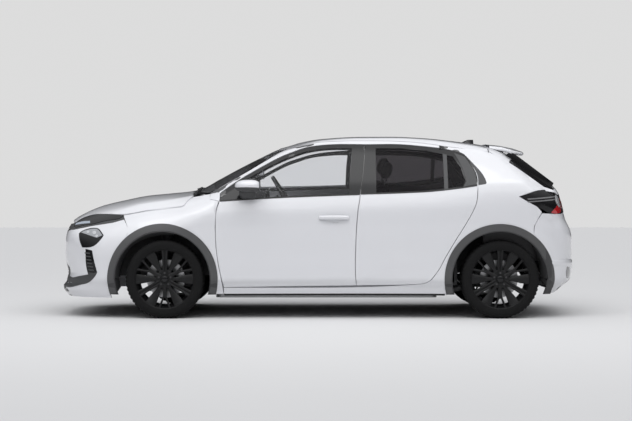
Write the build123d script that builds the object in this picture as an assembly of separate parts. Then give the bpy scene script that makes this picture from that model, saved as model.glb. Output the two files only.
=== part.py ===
from build123d import *
import math
import os
import numpy as np

os.makedirs("parts", exist_ok=True)

# ---------------------------------------------------------------- driving dimensions (mm)
# Frame: +X forward, +Y to the car's left, +Z up, origin on the ground under the middle.
NOSE_X = 2140
TAIL_X = -2140
FRONT_AXLE_X = 1233
REAR_AXLE_X = -1479
WHEEL_RADIUS = 318
TYRE_WIDTH = 225
TRACK_HALF = 757
RIM_RADIUS = 246
KINGPIN_Y = 700
STEER_LOCK = 35
PANEL_GAP = 6
SKIN = 26
DOOR_DEPTH = 118
DOOR_LAP = 48
QUARTER_JOINT_X = -1000
GLASS = 5
ARCH_CENTRE_FRONT = 1250
ARCH_CENTRE_REAR = -1474
ARCH_LIP = 384
ARCH_OUTER = 446
SILL_Z = 190
HEAD_LAMP_Y = 380
TAILGATE_HALF = 520
TAILGATE_BOTTOM = 700
CABIN_HALF = 700
REAR_STEP_X = -1120
STEERING_Y = 370
STEERING_WHEEL_RADIUS = 178
COLUMN_DIRECTION = (0.848, 0, -0.530)
BRAKE_DISC_RADIUS = 155
HUB_BORE_RADIUS = 26
TAILGATE_HINGE_X = -1399
EDGE_DROP = 70


# ---------------------------------------------------------------- shape of the body skin
def smooth_curve(*points):
    """A smooth curve through (station, value) points that never overshoots them."""
    x = np.array([p[0] for p in points], float)
    y = np.array([p[1] for p in points], float)
    run = np.diff(x)
    slope = np.diff(y) / run
    tangent = np.zeros(len(x))
    tangent[0] = slope[0]
    tangent[-1] = slope[-1]
    for i in range(1, len(x) - 1):
        if slope[i - 1] * slope[i] > 0:
            weights = 2 * run[i] + run[i - 1], run[i] + 2 * run[i - 1]
            tangent[i] = sum(weights) / (weights[0] / slope[i - 1] + weights[1] / slope[i])

    def value(at):
        at = np.clip(np.asarray(at, float), x[0], x[-1])
        k = np.clip(np.searchsorted(x, at) - 1, 0, len(x) - 2)
        t = (at - x[k]) / run[k]
        return (
            (1 + 2 * t) * (1 - t) ** 2 * y[k]
            + t * (1 - t) ** 2 * run[k] * tangent[k]
            + t * t * (3 - 2 * t) * y[k + 1]
            + t * t * (t - 1) * run[k] * tangent[k + 1]
        )

    return value


# Half width at the shoulder, along the car.
half_width = smooth_curve(
    (-2140, 770), (-1950, 846), (-1750, 886), (-1479, 900), (-1200, 897), (-900, 890), (-300, 884),
    (300, 884), (800, 888), (1100, 893), (1300, 893), (1500, 880), (1700, 852), (1900, 806), (2140, 730),
)
# Height of the belt line, where the side glass begins.
belt_height = smooth_curve(
    (-2140, 1100), (-1368, 1085), (-1178, 1057), (-911, 1027), (-669, 1015), (-354, 1006),
    (301, 977), (791, 947), (1300, 930), (2140, 900),
)
# How far the side leans in, by height over the belt line, and how far it tucks under, by height.
lean_in = smooth_curve(
    (-240, 0), (-180, 1.5), (-120, 6), (-60, 16), (0, 34), (60, 57), (120, 83), (200, 122),
    (300, 177), (400, 239), (500, 306),
)
tuck_under = smooth_curve((160, 74), (200, 56), (262, 36), (322, 9), (420, 10), (540, 8), (640, 3), (740, 0))
# Middle line of the bonnet, windscreen, roof and rear window.
middle_line = smooth_curve(
    (-2100, 880), (-2066, 960), (-2040, 1040), (-1988, 1092), (-1936, 1129), (-1850, 1185), (-1746, 1254),
    (-1600, 1345), (-1520, 1386), (-1402, 1417), (-1144, 1452), (-885, 1478), (-627, 1489), (-369, 1488),
    (-24, 1469), (148, 1439), (234, 1413), (320, 1388), (492, 1308), (664, 1221), (837, 1127), (990, 1046),
    (1060, 1028), (1267, 1006), (1439, 989), (1611, 956), (1818, 907), (1921, 874), (1990, 843),
    (2059, 800), (2100, 745), (2140, 640),
)
# Bow in plan of the windscreen (+) and rear window (-), and the round of the roof across.
plan_bow = smooth_curve((-1750, -95), (-1100, 0), (-300, 0), (250, 100), (880, 100), (1400, 0))
crown = smooth_curve((-2100, 50), (-1500, 40), (-600, 31), (200, 31), (900, 34), (1166, 55), (1511, 78), (1900, 115))
# Nose and tail in side view, on the middle line.
nose_line = smooth_curve(
    (150, 2096), (174, 2106), (200, 2123), (226, 2139), (250, 2140), (275, 2116), (300, 2111), (325, 2105),
    (351, 2097), (376, 2099), (401, 2106), (451, 2116), (520, 2123), (620, 2122), (700, 2110), (760, 2086),
    (800, 2062), (843, 1992), (900, 1880),
)
tail_line = smooth_curve(
    (190, -1990), (234, -2031), (259, -2062), (284, -2097), (309, -2117), (359, -2130), (408, -2140),
    (483, -2131), (632, -2129), (695, -2121), (732, -2106), (782, -2082), (831, -2068), (881, -2072),
    (950, -2064), (1000, -2053), (1050, -2036), (1100, -1990),
)
shoulder_round = smooth_curve((-2100, 130), (-1700, 90), (-1300, 60), (700, 60), (1000, 190), (1300, 300), (2100, 300))


def soft_max(a, b, round_by):
    """The larger of two distances, with a round of about the given radius where they meet."""
    blend = np.maximum(round_by - np.abs(a - b), 0)
    return np.maximum(a, b) + blend * blend / (4 * round_by)


def side_reach(x, z):
    """How far out the plain side of the body stands, before its edges are rounded."""
    over_belt = z - belt_height(x)
    narrow = np.maximum(over_belt, 0) / 400 * 60 * ((x + 250) / 1000) ** 2
    return half_width(x) - tuck_under(z) - lean_in(over_belt) - narrow


def outside_by(x, y, z):
    """Negative inside the body skin, zero on it and positive outside."""
    y = np.abs(y)
    side = y - side_reach(x, z)
    top = z - middle_line(x + plan_bow(x) * (y / 740) ** 2) + crown(x) * (y / 650) ** 2.4
    front = x - nose_line(z) + 1.6e-4 * y * y
    rear = tail_line(z) + 1.0e-4 * y * y - x
    # The corners between side and end are broad, and the edges between top and end are tight.
    share = np.clip(0.5 + (side - top) / 400, 0, 1)
    end_round = 60 + 240 * share * share * (3 - 2 * share)
    skin = soft_max(side, top, shoulder_round(x))
    return soft_max(soft_max(skin, front, end_round), rear, end_round)


def meet_skin(start, step):
    """How far along step, from a start inside the body, the skin is met (arrays allowed)."""
    low = np.zeros(np.broadcast(*start, *step).shape)
    high = np.full(low.shape, 2600.0)
    for _ in range(26):
        middle = (low + high) / 2
        inside = outside_by(*(s + middle * d for s, d in zip(start, step))) < 0
        low = np.where(inside, middle, low)
        high = np.where(inside, high, middle)
    return (low + high) / 2


def skin_y(x, z):
    return meet_skin((np.asarray(x, float), 0.0, np.asarray(z, float)), (0.0, 1.0, 0.0))


def skin_z(x, y):
    return 500 + meet_skin((np.asarray(x, float), np.asarray(y, float), 500.0), (0.0, 0.0, 1.0))


def skin_x(y, z, way):
    return way * meet_skin((0.0, np.asarray(y, float), np.asarray(z, float)), (float(way), 0.0, 0.0))


# ---------------------------------------------------------------- making solids
def outward(solid):
    """The same solid, turned right side out if it was made inside out."""
    return solid if solid.volume > 0 else Solid(solid.wrapped.Reversed())


def slab(points, direction):
    """A slab lofted through rows of points, between that face and the same face moved."""
    sections = []
    for row in points:
        near = [Vector(*point) for point in row]
        far = [point + Vector(*direction) for point in near]
        edges = [Spline(*near), Line(near[-1], far[-1]), Spline(*reversed(far)), Line(far[0], near[0])]
        sections.append(Wire([piece.edge() for piece in edges]))
    return outward(Solid.make_loft(sections))


def stations(span, step):
    """Even stations on whole steps that cover a span, so that neighbouring slabs share them."""
    return np.arange(math.floor(span[0] / step), math.ceil(span[1] / step) + 1) * float(step)


def side_slab(x_range, z_range, depth, thick, edge_drop=EDGE_DROP, coarse=1):
    """A left side wall: its outer face is the skin moved inwards by depth."""
    x, z = np.meshgrid(stations(x_range, 120 * coarse), stations(z_range, 60 * coarse), indexing="ij")
    y = soft_max(skin_y(x, z), side_reach(x, z) - edge_drop, 40)
    return slab(np.dstack([x, y - depth, z]), (0, -thick, 0))


def top_slab(x_range, y_range, depth, thick):
    """A top wall: its upper face is the skin moved down by depth."""
    xs = np.linspace(*x_range, max(6, int((x_range[1] - x_range[0]) / 55)))
    ys = np.linspace(*y_range, max(6, int((y_range[1] - y_range[0]) / 70)))
    x, y = np.meshgrid(xs, ys, indexing="ij")
    return slab(np.dstack([x, y, skin_z(x, y) - depth]), (0, 0, -thick))


def end_slab(way, y_range, z_range, depth, thick):
    """A front (way 1) or rear (way -1) wall: its outer face is the skin moved inwards by depth."""
    ys = np.linspace(*y_range, max(6, int((y_range[1] - y_range[0]) / 70)))
    zs = np.linspace(*z_range, max(6, int((z_range[1] - z_range[0]) / 35)))
    y, z = np.meshgrid(ys, zs, indexing="ij")
    return slab(np.dstack([skin_x(y, z, way) - way * depth, y, z]), (-way * thick, 0, 0))


def prism(plane, corners, low, high, inset=0):
    """A prism on an outline in plane "xz", "xy" or "yz", between two levels on the third axis."""
    place = {
        "xz": lambda a, b, c: (a, c, b),
        "xy": lambda a, b, c: (a, b, c),
        "yz": lambda a, b, c: (c, a, b),
    }[plane]
    outline = Wire(Polyline(*corners, close=True).edges())
    if inset:
        outline = outline.offset_2d(-inset, Kind.INTERSECTION)
    corners = [tuple(edge @ 0)[:2] for edge in outline.order_edges()]
    face = Face(Wire(Polyline(*[place(a, b, low) for a, b in corners], close=True).edges()))
    return outward(Solid.extrude(face, Vector(*place(0, 0, high - low))))


def drum(centre, radius, length, axis="y"):
    """A cylinder about a line along X, Y or Z, centred on a point."""
    turn = {"x": Rot(0, 90, 0), "y": Rot(90, 0, 0), "z": Rot(0, 0, 0)}[axis]
    return Pos(*centre) * turn * Cylinder(radius, length)


def rod(start, end, radius):
    """A round bar between two points."""
    line = Vector(*end) - Vector(*start)
    plane = Plane(origin=Vector(*start), z_dir=line)
    return Solid.extrude(Face(Wire.make_circle(radius, plane)), line)


def box(x_range, y_range, z_range):
    size = [b - a for a, b in (x_range, y_range, z_range)]
    centre = [(a + b) / 2 for a, b in (x_range, y_range, z_range)]
    return Pos(*centre) * Box(*size)


def keep_inside(shape, limit):
    """What of a shape lies inside a limiting prism, cut as the shape less all that is around it."""
    around = box((-2600, 2600), (-1300, 1300), (0, 1800)) - limit
    kept = [Part() + solid - around for solid in shape.solids()]
    return Compound([solid for part in kept for solid in part.solids()])


def mirrored(shape):
    return mirror(shape, Plane.XZ)


def both_sides(shape):
    return Compound([*shape.solids(), *mirrored(shape).solids()])


def save(name, shape):
    """Write one piece, as its solids, to its own file."""
    solids = shape.solids()
    whole = solids[0] if len(solids) == 1 else Compound(solids)
    export_step(whole, f"parts/{name}.step", write_pcurves=False)


# ---------------------------------------------------------------- outlines in side view (x, z)
DOOR_FRONT_EDGE = [(790, 945), (814, 878), (822, 742), (816, 581), (799, 445), (774, 326), (754, 252)]
DOOR_SPLIT = [
    (-317, 268), (-308, 360), (-309, 531), (-317, 742), (-330, 886), (-342, 954), (-351, 1039),
    (-372, 1175), (-393, 1411),
]
FRONT_DOOR_TOP = [
    (-134, 1411), (-9, 1402), (116, 1379), (210, 1345), (308, 1304), (432, 1238), (642, 1113), (785, 1013),
]
REAR_DOOR_TOP = [(-678, 1411), (-890, 1393), (-1015, 1378), (-1110, 1359), (-1194, 1331)]
REAR_DOOR_EDGE = [
    (-1212, 1317), (-1291, 1161), (-1299, 1071), (-1287, 954), (-1274, 910), (-1252, 862), (-1190, 754),
    (-1113, 630), (-1036, 499), (-982, 399), (-943, 345), (-904, 302), (-858, 284), (-796, 277),
]
FRONT_DOOR = DOOR_FRONT_EDGE + DOOR_SPLIT + FRONT_DOOR_TOP
REAR_DOOR = DOOR_SPLIT + REAR_DOOR_TOP + REAR_DOOR_EDGE
FRONT_GLASS = [
    (-258, 1006), (301, 986), (612, 967), (612, 1100), (432, 1208), (308, 1272), (210, 1313), (116, 1346),
    (-9, 1370), (-134, 1379), (-282, 1379), (-277, 1282), (-266, 1175),
]
REAR_GLASS = [
    (-478, 1012), (-669, 1022), (-1026, 1042), (-1026, 1330), (-890, 1361), (-678, 1379), (-478, 1379),
]
QUARTER_GLASS = [(-1058, 1045), (-1178, 1066), (-1200, 1110), (-1165, 1225), (-1104, 1313), (-1058, 1322)]
APERTURE = DOOR_FRONT_EDGE + [(-317, 252)] + REAR_DOOR_EDGE[::-1] + REAR_DOOR_TOP[::-1] + [(-393, 1411)] + FRONT_DOOR_TOP

SIDE_PANEL = [
    (869, 1012), (555, 1194), (248, 1373), (116, 1404), (-9, 1427), (-134, 1436), (-322, 1440),
    (-678, 1436), (-890, 1418), (-1109, 1386), (-1396, 1346), (-1476, 1312), (-1573, 1254), (-1845, 1062),
    (-1945, 1030), (-1936, 1018), (-1807, 1038), (-1624, 986), (-1766, 908), (-1812, 861), (-1748, 748),
    (-1732, 640), (-1600, 500), (-1474, 318), (-1474, SILL_Z), (754, SILL_Z), (754, 300),
    (796, 950), (869, 964),
]
WING = [
    (757, 200), (777, 326), (802, 445), (819, 581), (825, 742), (817, 878), (799, 945), (869, 961),
    (873, 1004), (1009, 980), (1034, 962), (1081, 908), (1105, 898), (1159, 892), (1355, 868), (1576, 830),
    (1568, 806), (1537, 740), (1250, 318), (1250, 200),
]
FRONT_DOOR_HOLE = [
    (756, 945), (790, 742), (784, 581), (735, 290), (-275, 290), (-280, 700), (-312, 960), (-320, 1383),
    (-134, 1383), (116, 1350), (308, 1276), (432, 1212), (640, 1090),
]
REAR_DOOR_HOLE = [
    (-341, 290), (-345, 742), (-372, 1000), (-470, 1383), (-678, 1383), (-890, 1366), (-1104, 1318),
    (-1203, 1110), (-1255, 954), (-1160, 754), (-1004, 499), (-915, 345), (-860, 290),
]
FRAME_OUTER = [
    (866, 200), (866, 880), (792, 925), (776, 1010), (640, 1114), (432, 1242), (210, 1348),
    (-134, 1416), (-678, 1416), (-890, 1398), (-1110, 1364), (-1230, 1324), (-1325, 1160),
    (-1325, 940), (-1250, 754), (-1100, 499), (-940, 300), (-860, 200),
]
PILLAR_ZONES = [
    ((-1000, 900), (180, 300)), ((700, 900), (300, 900)), ((-500, -265), (300, 1440)),
    ((-265, 900), (900, 1440)), ((-1000, -500), (300, 1440)),
]
REAR_WINDOW = [
    (-1600, 0), (-1606, 300), (-1628, 500), (-1840, 560), (-1915, 500), (-1930, 300), (-1934, 0),
    (-1930, -300), (-1915, -500), (-1840, -560), (-1628, -500), (-1606, -300),
]
TAIL_LAMP = [
    (-1624, 986), (-1807, 1038), (-1936, 1018), (-1961, 982), (-2100, 975), (-2100, 850), (-1969, 848),
    (-1904, 844), (-1812, 861), (-1766, 908),
]
HEAD_LAMP = [
    (1580, 822), (1872, 820), (1943, 800), (2040, 755), (2200, 750), (2200, 706), (1990, 716),
    (1830, 748), (1660, 775), (1572, 800),
]
# Where the bonnet's side meets the wing and the lamp: height along the car.
bonnet_edge = smooth_curve(
    (1012, 986), (1037, 969), (1081, 911), (1105, 901), (1159, 895), (1355, 871), (1580, 834), (1872, 832),
    (1943, 810), (1979, 791), (2020, 770),
)


# ---------------------------------------------------------------- doors (left side; the right is mirrored)
def hinged_door(outline, glass_openings, x_range):
    """Outer skin to the full outline, a thick lower box inside it, and the window cut out."""
    skin = side_slab(x_range, (235, 1425), 0, SKIN) & prism("xz", outline, 0, 1200, inset=PANEL_GAP / 2)
    for opening in glass_openings:
        skin -= prism("xz", opening, 0, 1200)
    inner = side_slab(x_range, (235, 1000), SKIN - 10, DOOR_DEPTH - SKIN + 10)
    inner &= prism("xz", outline, 0, 1200, inset=DOOR_LAP)
    inner &= prism("xz", [(x_range[0], 240), (x_range[1], 240), (x_range[1], 930), (x_range[0], 985)], 0, 1200)
    return skin + inner


def window_pane(opening):
    xs = [x for x, z in opening]
    zs = [z for x, z in opening]
    pane = side_slab((min(xs) - 10, max(xs) + 10), (min(zs) - 10, max(zs) + 10), 3, GLASS)
    return pane & prism("xz", opening, 0, 1200, inset=0.3)


def door_mirror():
    """Housing on a short foot that stands on the door just ahead of the glass."""
    housing = Solid.make_loft([
        Wire(Polyline(*[(x, y, z) for x, z in ring], close=True).edges())
        for y, ring in (
            (886, [(655, 1018), (655, 1085), (600, 1112), (480, 1104), (452, 1060), (462, 1016), (560, 1006)]),
            (960, [(672, 1022), (668, 1088), (600, 1121), (476, 1116), (444, 1066), (452, 1016), (560, 1008)]),
            (1034, [(622, 1034), (618, 1080), (570, 1104), (486, 1102), (456, 1062), (462, 1028), (540, 1020)]),
        )
    ], ruled=True)
    foot = Solid.make_loft([
        Wire(Polyline(*[(x, y, z) for x, z in ring], close=True).edges())
        for y, ring in (
            (846, [(600, 975), (600, 1000), (470, 1004), (470, 984)]),
            (892, [(610, 1014), (606, 1040), (500, 1040), (500, 1014)]),
        )
    ], ruled=True)
    return housing + foot - side_slab((420, 700), (940, 1160), -0.5, 300)


# ---------------------------------------------------------------- body sides, roof and glass
def wheel_hole(x, radius):
    return drum((x, 600, WHEEL_RADIUS), radius, 1400)


def side_frame():
    """Pillars, sill and rear quarter around both door openings, as a front and a rear pressing."""
    solids = []
    for x_range in ((QUARTER_JOINT_X, 872), (-1950, QUARTER_JOINT_X)):
        span = box(x_range, (0, 1200), (0, 1600))
        wide = (x_range[0] - 10, x_range[1] + 10)
        outer = keep_inside(side_slab(wide, (184, 1420), 0, 40), prism("xz", SIDE_PANEL, 0, 1200))
        outer -= prism("xz", APERTURE, 0, 1200, inset=-PANEL_GAP / 2)
        ring = side_slab((max(wide[0], -1340), wide[1]), (196, 1430), 34, 76, coarse=2)
        ring = keep_inside(ring, prism("xz", FRAME_OUTER, 0, 1200))
        for hole in (FRONT_DOOR_HOLE, REAR_DOOR_HOLE):
            ring -= prism("xz", hole, 0, 1200)
        for shape in (outer, ring):
            limit = span - wheel_hole(ARCH_CENTRE_REAR, ARCH_OUTER)
            limit -= wheel_hole(ARCH_CENTRE_FRONT, ARCH_OUTER if shape is outer else ARCH_LIP + 18)
            kept = keep_inside(shape, limit)
            if shape is ring and x_range[1] > 0:
                # Sill, hinge pillar, middle pillar and the two lengths of roof rail, end to end.
                for along, up in PILLAR_ZONES:
                    solids += keep_inside(kept, box(along, (0, 1200), up)).solids()
            else:
                solids += kept.solids()
    return Compound(solids)


def front_wing():
    wing = side_slab((744, 1590), (190, 1010), 0, 30, edge_drop=160)
    wing = keep_inside(wing, prism("xz", WING, 0, 1200) - wheel_hole(ARCH_CENTRE_FRONT, ARCH_OUTER))
    return wing - bonnet_space()


def roof_panel():
    stations = [-1396, -1109, -890, -678, -322, -134, -9, 116, 235]
    top_line = smooth_curve(*sorted(SIDE_PANEL[2:11]))
    edge = [(x, float(skin_y(x, top_line(x) - 6)) - 62) for x in stations]
    outline = edge + [(305, 380), (318, 0), (305, -380)] + [(x, -y) for x, y in reversed(edge)]
    return top_slab((-1410, 330), (-660, 660), 0, 26) & prism("xy", outline, 1000, 1600)


def windscreen():
    half = [(318, 0), (305, 380), (292, 500), (335, 560), (555, 612), (862, 664), (930, 560), (975, 300), (992, 0)]
    outline = half + [(x, -y) for x, y in reversed(half[1:-1])]
    return top_slab((225, 1000), (-720, 720), 2, 6) & prism("xy", outline, 900, 1500, inset=2)


def front_bulkhead():
    """Firewall across the car, cowl shelf under the windscreen, and the long inner wings."""
    shape = box((800, 830), (-700, 700), (262, 925))
    shape += box((800, 985), (-700, 700), (925, 950))
    for side in (1, -1):
        rail = box((825, 1830), sorted((side * 440, side * 458)), (330, 790))
        tower = box((1130, 1340), sorted((side * 458, side * 620)), (718, 800))
        shape += rail + tower
    shape += box((1810, 1830), (-458, 458), (330, 790))
    return shape


def bonnet_outline():
    half = [(1046, 0), (1040, 300), (1026, 560)]
    for x in (1015, 1037, 1081, 1105, 1159, 1355, 1580, 1750, 1872, 1943, 1979):
        half.append((x, float(skin_y(x, bonnet_edge(x))) - PANEL_GAP))
    half += [(2030, 420), (2052, 250), (2062, 0)]
    return half + [(x, -y) for x, y in reversed(half[1:-1])]


def bonnet():
    panel = top_slab((1010, 2066), (-860, 860), 0, 25)
    return panel & prism("xy", bonnet_outline(), 600, 1200)


def bonnet_space():
    """The room that the bonnet's side edge needs over the left wing and lamp."""
    space = top_slab((1004, 2080), (190, 880), -4, 36)
    edge = [(x, y + 7) for x, y in bonnet_outline() if y > 240]
    return space & prism("xy", edge + [(2074, 200), (1004, 200)], 600, 1200)


def end_volume(way, cut_x, levels, depth):
    """The solid nose (way 1) or tail (way -1) beyond cut_x, drawn in by depth all round."""
    sections = []
    for z in levels:
        ring = []
        for turn in np.linspace(90, -90, 23):
            along, across = way * math.cos(math.radians(turn)), math.sin(math.radians(turn))
            reach = float(meet_skin((float(cut_x), 0.0, float(z)), (along, across, 0.0))) - depth
            ring.append((cut_x + reach * along, reach * across, z))
        sections.append(Wire([Spline(*ring).edge(), Line(ring[-1], ring[0]).edge()]))
    return outward(Solid.make_loft(sections))


def nose_volume(depth):
    return end_volume(1, 1500, (165, 178, 205, 240, 262, 300, 340, 380, 440, 520, 600, 680, 730, 770, 800, 826), depth)


def tail_volume(depth):
    return end_volume(-1, -1560, (196, 215, 250, 285, 320, 360, 410, 480, 560, 640, 700, 745, 790, 830, 862), depth)


def front_bumper():
    """Nose skin from lip to bonnet, open behind the lower intake and around both lamps."""
    skin = nose_volume(0) - nose_volume(30)
    skin &= prism("xz", [(1540, 100), (1540, 736), (1572, 798), (1660, 773), (1830, 746), (2000, 712), (2200, 704), (2200, 100)], -1000, 1000)
    skin -= box((1990, 2200), (-430, 430), (268, 400))
    return skin - Pos(ARCH_CENTRE_FRONT, 0, WHEEL_RADIUS) * Rot(90, 0, 0) * Cylinder(ARCH_OUTER, 2400)


def nose_strip():
    """Black strip across the nose that joins the two lamps, under the edge of the bonnet."""
    strip = nose_volume(3) - nose_volume(30)
    return strip & box((1900, 2200), (-HEAD_LAMP_Y + 1, HEAD_LAMP_Y - 1), (718, 752))


def lower_grille():
    """Slatted panel across the mouth of the bumper."""
    shape = box((2040, 2052), (-425, 425), (272, 396))
    for level in range(288, 396, 22):
        shape += box((2048, 2076), (-425, 425), (level - 4, level + 4))
    return shape


def head_lamp():
    volume = nose_volume(1) - nose_volume(60)
    volume &= prism("xz", HEAD_LAMP, 0, 1000)
    volume &= box((1500, 2300), (HEAD_LAMP_Y + 2, 1000), (600, 900))
    return volume - bonnet_space()


def rear_bumper():
    skin = tail_volume(0) - tail_volume(30)
    skin &= prism("xz", [(-1740, 190), (-1740, 640), (-1753, 748), (-1816, 846), (-2200, 846), (-2200, 190)], -1000, 1000)
    skin -= box((-2300, -1900), (-TAILGATE_HALF - 4, TAILGATE_HALF + 4), (TAILGATE_BOTTOM - 4, 900))
    skin -= Pos(ARCH_CENTRE_REAR, 0, WHEEL_RADIUS) * Rot(90, 0, 0) * Cylinder(ARCH_OUTER, 2400)
    return skin


def tail_lamp():
    lamp = end_slab(-1, (TAILGATE_HALF + 4, 812), (852, 985), 2, 60)
    return lamp & box((-2200, -1700), (TAILGATE_HALF + 4, 812), (852, 985))


def floor_pan():
    """Flat floor over the battery, the step up over the rear axle, and the boot floor."""
    shape = box((REAR_STEP_X, 800), (-CABIN_HALF, CABIN_HALF), (262, 284))
    shape += box((REAR_STEP_X - 22, REAR_STEP_X), (-CABIN_HALF, CABIN_HALF), (262, 455))
    shape += box((-2020, REAR_STEP_X), (-590, 590), (433, 455))
    shape += box((-2040, -2015), (-560, 560), (433, TAILGATE_BOTTOM - 8))
    return shape


def battery_pack():
    pack = box((-980, 830), (-690, 690), (160, 258))
    return fillet(pack.edges().filter_by(Axis.Z), 60)


def drive_unit():
    return fillet(box((-1600, -1330), (-260, 260), (215, 420)).edges(), 25)


# ---------------------------------------------------------------- cabin
def dashboard():
    outline = [(797, 420), (797, 905), (640, 960), (480, 950), (430, 880), (470, 760), (560, 700), (600, 420)]
    return prism("xz", outline, -CABIN_HALF + 30, CABIN_HALF - 30)


def steering_column():
    return rod((520, STEERING_Y, 812), (312, STEERING_Y, 942), 34)


def steering_wheel():
    face = Plane(origin=(272, STEERING_Y, 967), z_dir=Vector(*COLUMN_DIRECTION))
    rim = Solid.make_torus(STEERING_WHEEL_RADIUS, 15, face)
    hub = face.location * Pos(0, 0, 8) * Cylinder(62, 40)
    shape = rim + hub
    for turn in (0, 180, 270):
        shape += face.location * Rot(0, 0, turn) * Pos(108, 0, 0) * Box(150, 34, 14)
    return shape


def centre_console():
    return prism("xz", [(-330, 290), (-330, 560), (-260, 590), (180, 560), (420, 600), (430, 290)], -110, 110)


def front_seat():
    cushion = prism("xz", [(-330, 390), (-300, 520), (100, 540), (150, 500), (140, 400)], 125, 620)
    back = prism("xz", [(-300, 450), (-400, 470), (-600, 1060), (-560, 1090), (-500, 1080), (-290, 540)], 145, 600)
    head = prism("xz", [(-600, 1110), (-640, 1240), (-590, 1262), (-540, 1240), (-520, 1120)], 250, 495)
    post = box((-580, -560), (300, 445), (1060, 1150))
    rails = box((-250, 90), (180, 220), (286, 400)) + box((-250, 90), (520, 560), (286, 400))
    return cushion + back + head + post + rails


def rear_seat():
    cushion = prism("xz", [(-1110, 458), (-1110, 560), (-760, 590), (-700, 540), (-720, 380), (-1090, 380)], -592, 592)
    back = prism("xz", [(-1150, 470), (-1380, 1050), (-1340, 1085), (-1270, 1060), (-1060, 560), (-1100, 500)], -590, 590)
    shape = cushion + back
    for side in (-380, 0, 380):
        shape += prism("xz", [(-1370, 1070), (-1405, 1180), (-1350, 1205), (-1300, 1180), (-1300, 1070)], side - 110, side + 110)
    return shape


# ---------------------------------------------------------------- running gear
def tyre(x, y):
    """Round-shouldered tyre on its rim."""
    half = TYRE_WIDTH / 2
    profile = [
        (RIM_RADIUS - 14, -half + 16), (RIM_RADIUS + 14, -half + 2), (RIM_RADIUS + 40, -half),
        (WHEEL_RADIUS - 16, -half + 8), (WHEEL_RADIUS - 4, -half + 20), (WHEEL_RADIUS, -half + 40),
        (WHEEL_RADIUS, half - 40), (WHEEL_RADIUS - 4, half - 20), (WHEEL_RADIUS - 16, half - 8),
        (RIM_RADIUS + 40, half), (RIM_RADIUS + 14, half - 2), (RIM_RADIUS - 14, half - 16),
    ]
    face = Face(Wire(Polyline(*[(r, w, 0) for r, w in profile], close=True).edges()))
    ring = Solid.revolve(face, 360, Axis.Y)
    return Pos(x, y, WHEEL_RADIUS) * outward(ring)


def road_wheel(x, side):
    """Rim barrel, twelve-armed face, hub and the brake disc that turns with them."""
    y = side * TRACK_HALF
    half = TYRE_WIDTH / 2
    barrel = Cylinder(RIM_RADIUS - 14, TYRE_WIDTH - 24) - Cylinder(RIM_RADIUS - 24, TYRE_WIDTH)
    shape = barrel + Pos(0, 0, half - 50) * Cylinder(80, 46)
    for k in range(12):
        shape += Rot(0, 0, 30 * k) * Pos(148, 0, half - 42) * Box(160, 34, 26)
    shape += Pos(0, 0, -14) * Cylinder(62, 90)
    shape += Pos(0, 0, -36) * Cylinder(BRAKE_DISC_RADIUS, 24)
    shape -= Pos(0, 0, -60) * Cylinder(HUB_BORE_RADIUS, 90)
    return Pos(x, y, WHEEL_RADIUS) * Rot(-90 * side, 0, 0) * shape


def front_knuckle(side):
    """Upright with its stub axle and the brake caliper."""
    y = side * TRACK_HALF
    shape = drum((FRONT_AXLE_X, y - side * 84, WHEEL_RADIUS), 52, 36)
    shape += drum((FRONT_AXLE_X, y - side * 78, WHEEL_RADIUS), HUB_BORE_RADIUS - 0.5, 72)
    inner = sorted((y - side * 100, y - side * 68))
    shape += box((FRONT_AXLE_X - 28, FRONT_AXLE_X + 28), inner, (WHEEL_RADIUS - 130, WHEEL_RADIUS + 140))
    caliper = box((FRONT_AXLE_X - 196, FRONT_AXLE_X - 120), sorted((y - side * 90, y - side * 58)), (250, 386))
    arm = box((FRONT_AXLE_X - 130, FRONT_AXLE_X), sorted((y - side * 90, y - side * 72)), (290, 346))
    return shape + caliper + arm


def front_suspension():
    """Subframe, lower arms, steering rack and struts."""
    shape = box((1050, 1420), (-330, 330), (190, 240))
    shape += rod((1010, -436, 300), (1010, 436, 300), 24)
    shape += box((1000, 1040), (-60, 60), (200, 300)) + box((1000, 1100), (-60, 60), (200, 240))
    for side in (1, -1):
        shape += rod((1233, side * 320, 214), (1233, side * 600, 206), 22)
        shape += rod((1080, side * 320, 214), (1215, side * 590, 206), 18)
        shape += rod((1233, side * 560, 214), (1233, side * 560, 698), 24)
        shape += drum((1233, side * 560, 600), 50, 150, "z")
    return shape


def rear_axle():
    """Cross member, trailing arms, stub axles, springs and calipers."""
    shape = rod((REAR_AXLE_X + 210, -610, 250), (REAR_AXLE_X + 210, 610, 250), 30)
    for side in (1, -1):
        hub_y = side * (TRACK_HALF - 84)
        shape += drum((REAR_AXLE_X, hub_y, WHEEL_RADIUS), 52, 36)
        shape += drum((REAR_AXLE_X, side * (TRACK_HALF - 78), WHEEL_RADIUS), HUB_BORE_RADIUS - 0.5, 72)
        shape += rod((REAR_AXLE_X, side * 660, WHEEL_RADIUS), (-1040, side * 560, 200), 26)
        shape += rod((REAR_AXLE_X, side * 610, 290), (REAR_AXLE_X, side * 673, 318), 22)
        caliper_y = sorted((side * (TRACK_HALF - 90), side * (TRACK_HALF - 58)))
        shape += box((REAR_AXLE_X + 120, REAR_AXLE_X + 190), caliper_y, (260, 376))
        shape += box((REAR_AXLE_X, REAR_AXLE_X + 130), sorted((side * 667, side * 685)), (290, 346))
        shape += drum((REAR_AXLE_X + 60, side * 560, 345), 55, 150, "z")
    return shape


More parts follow.
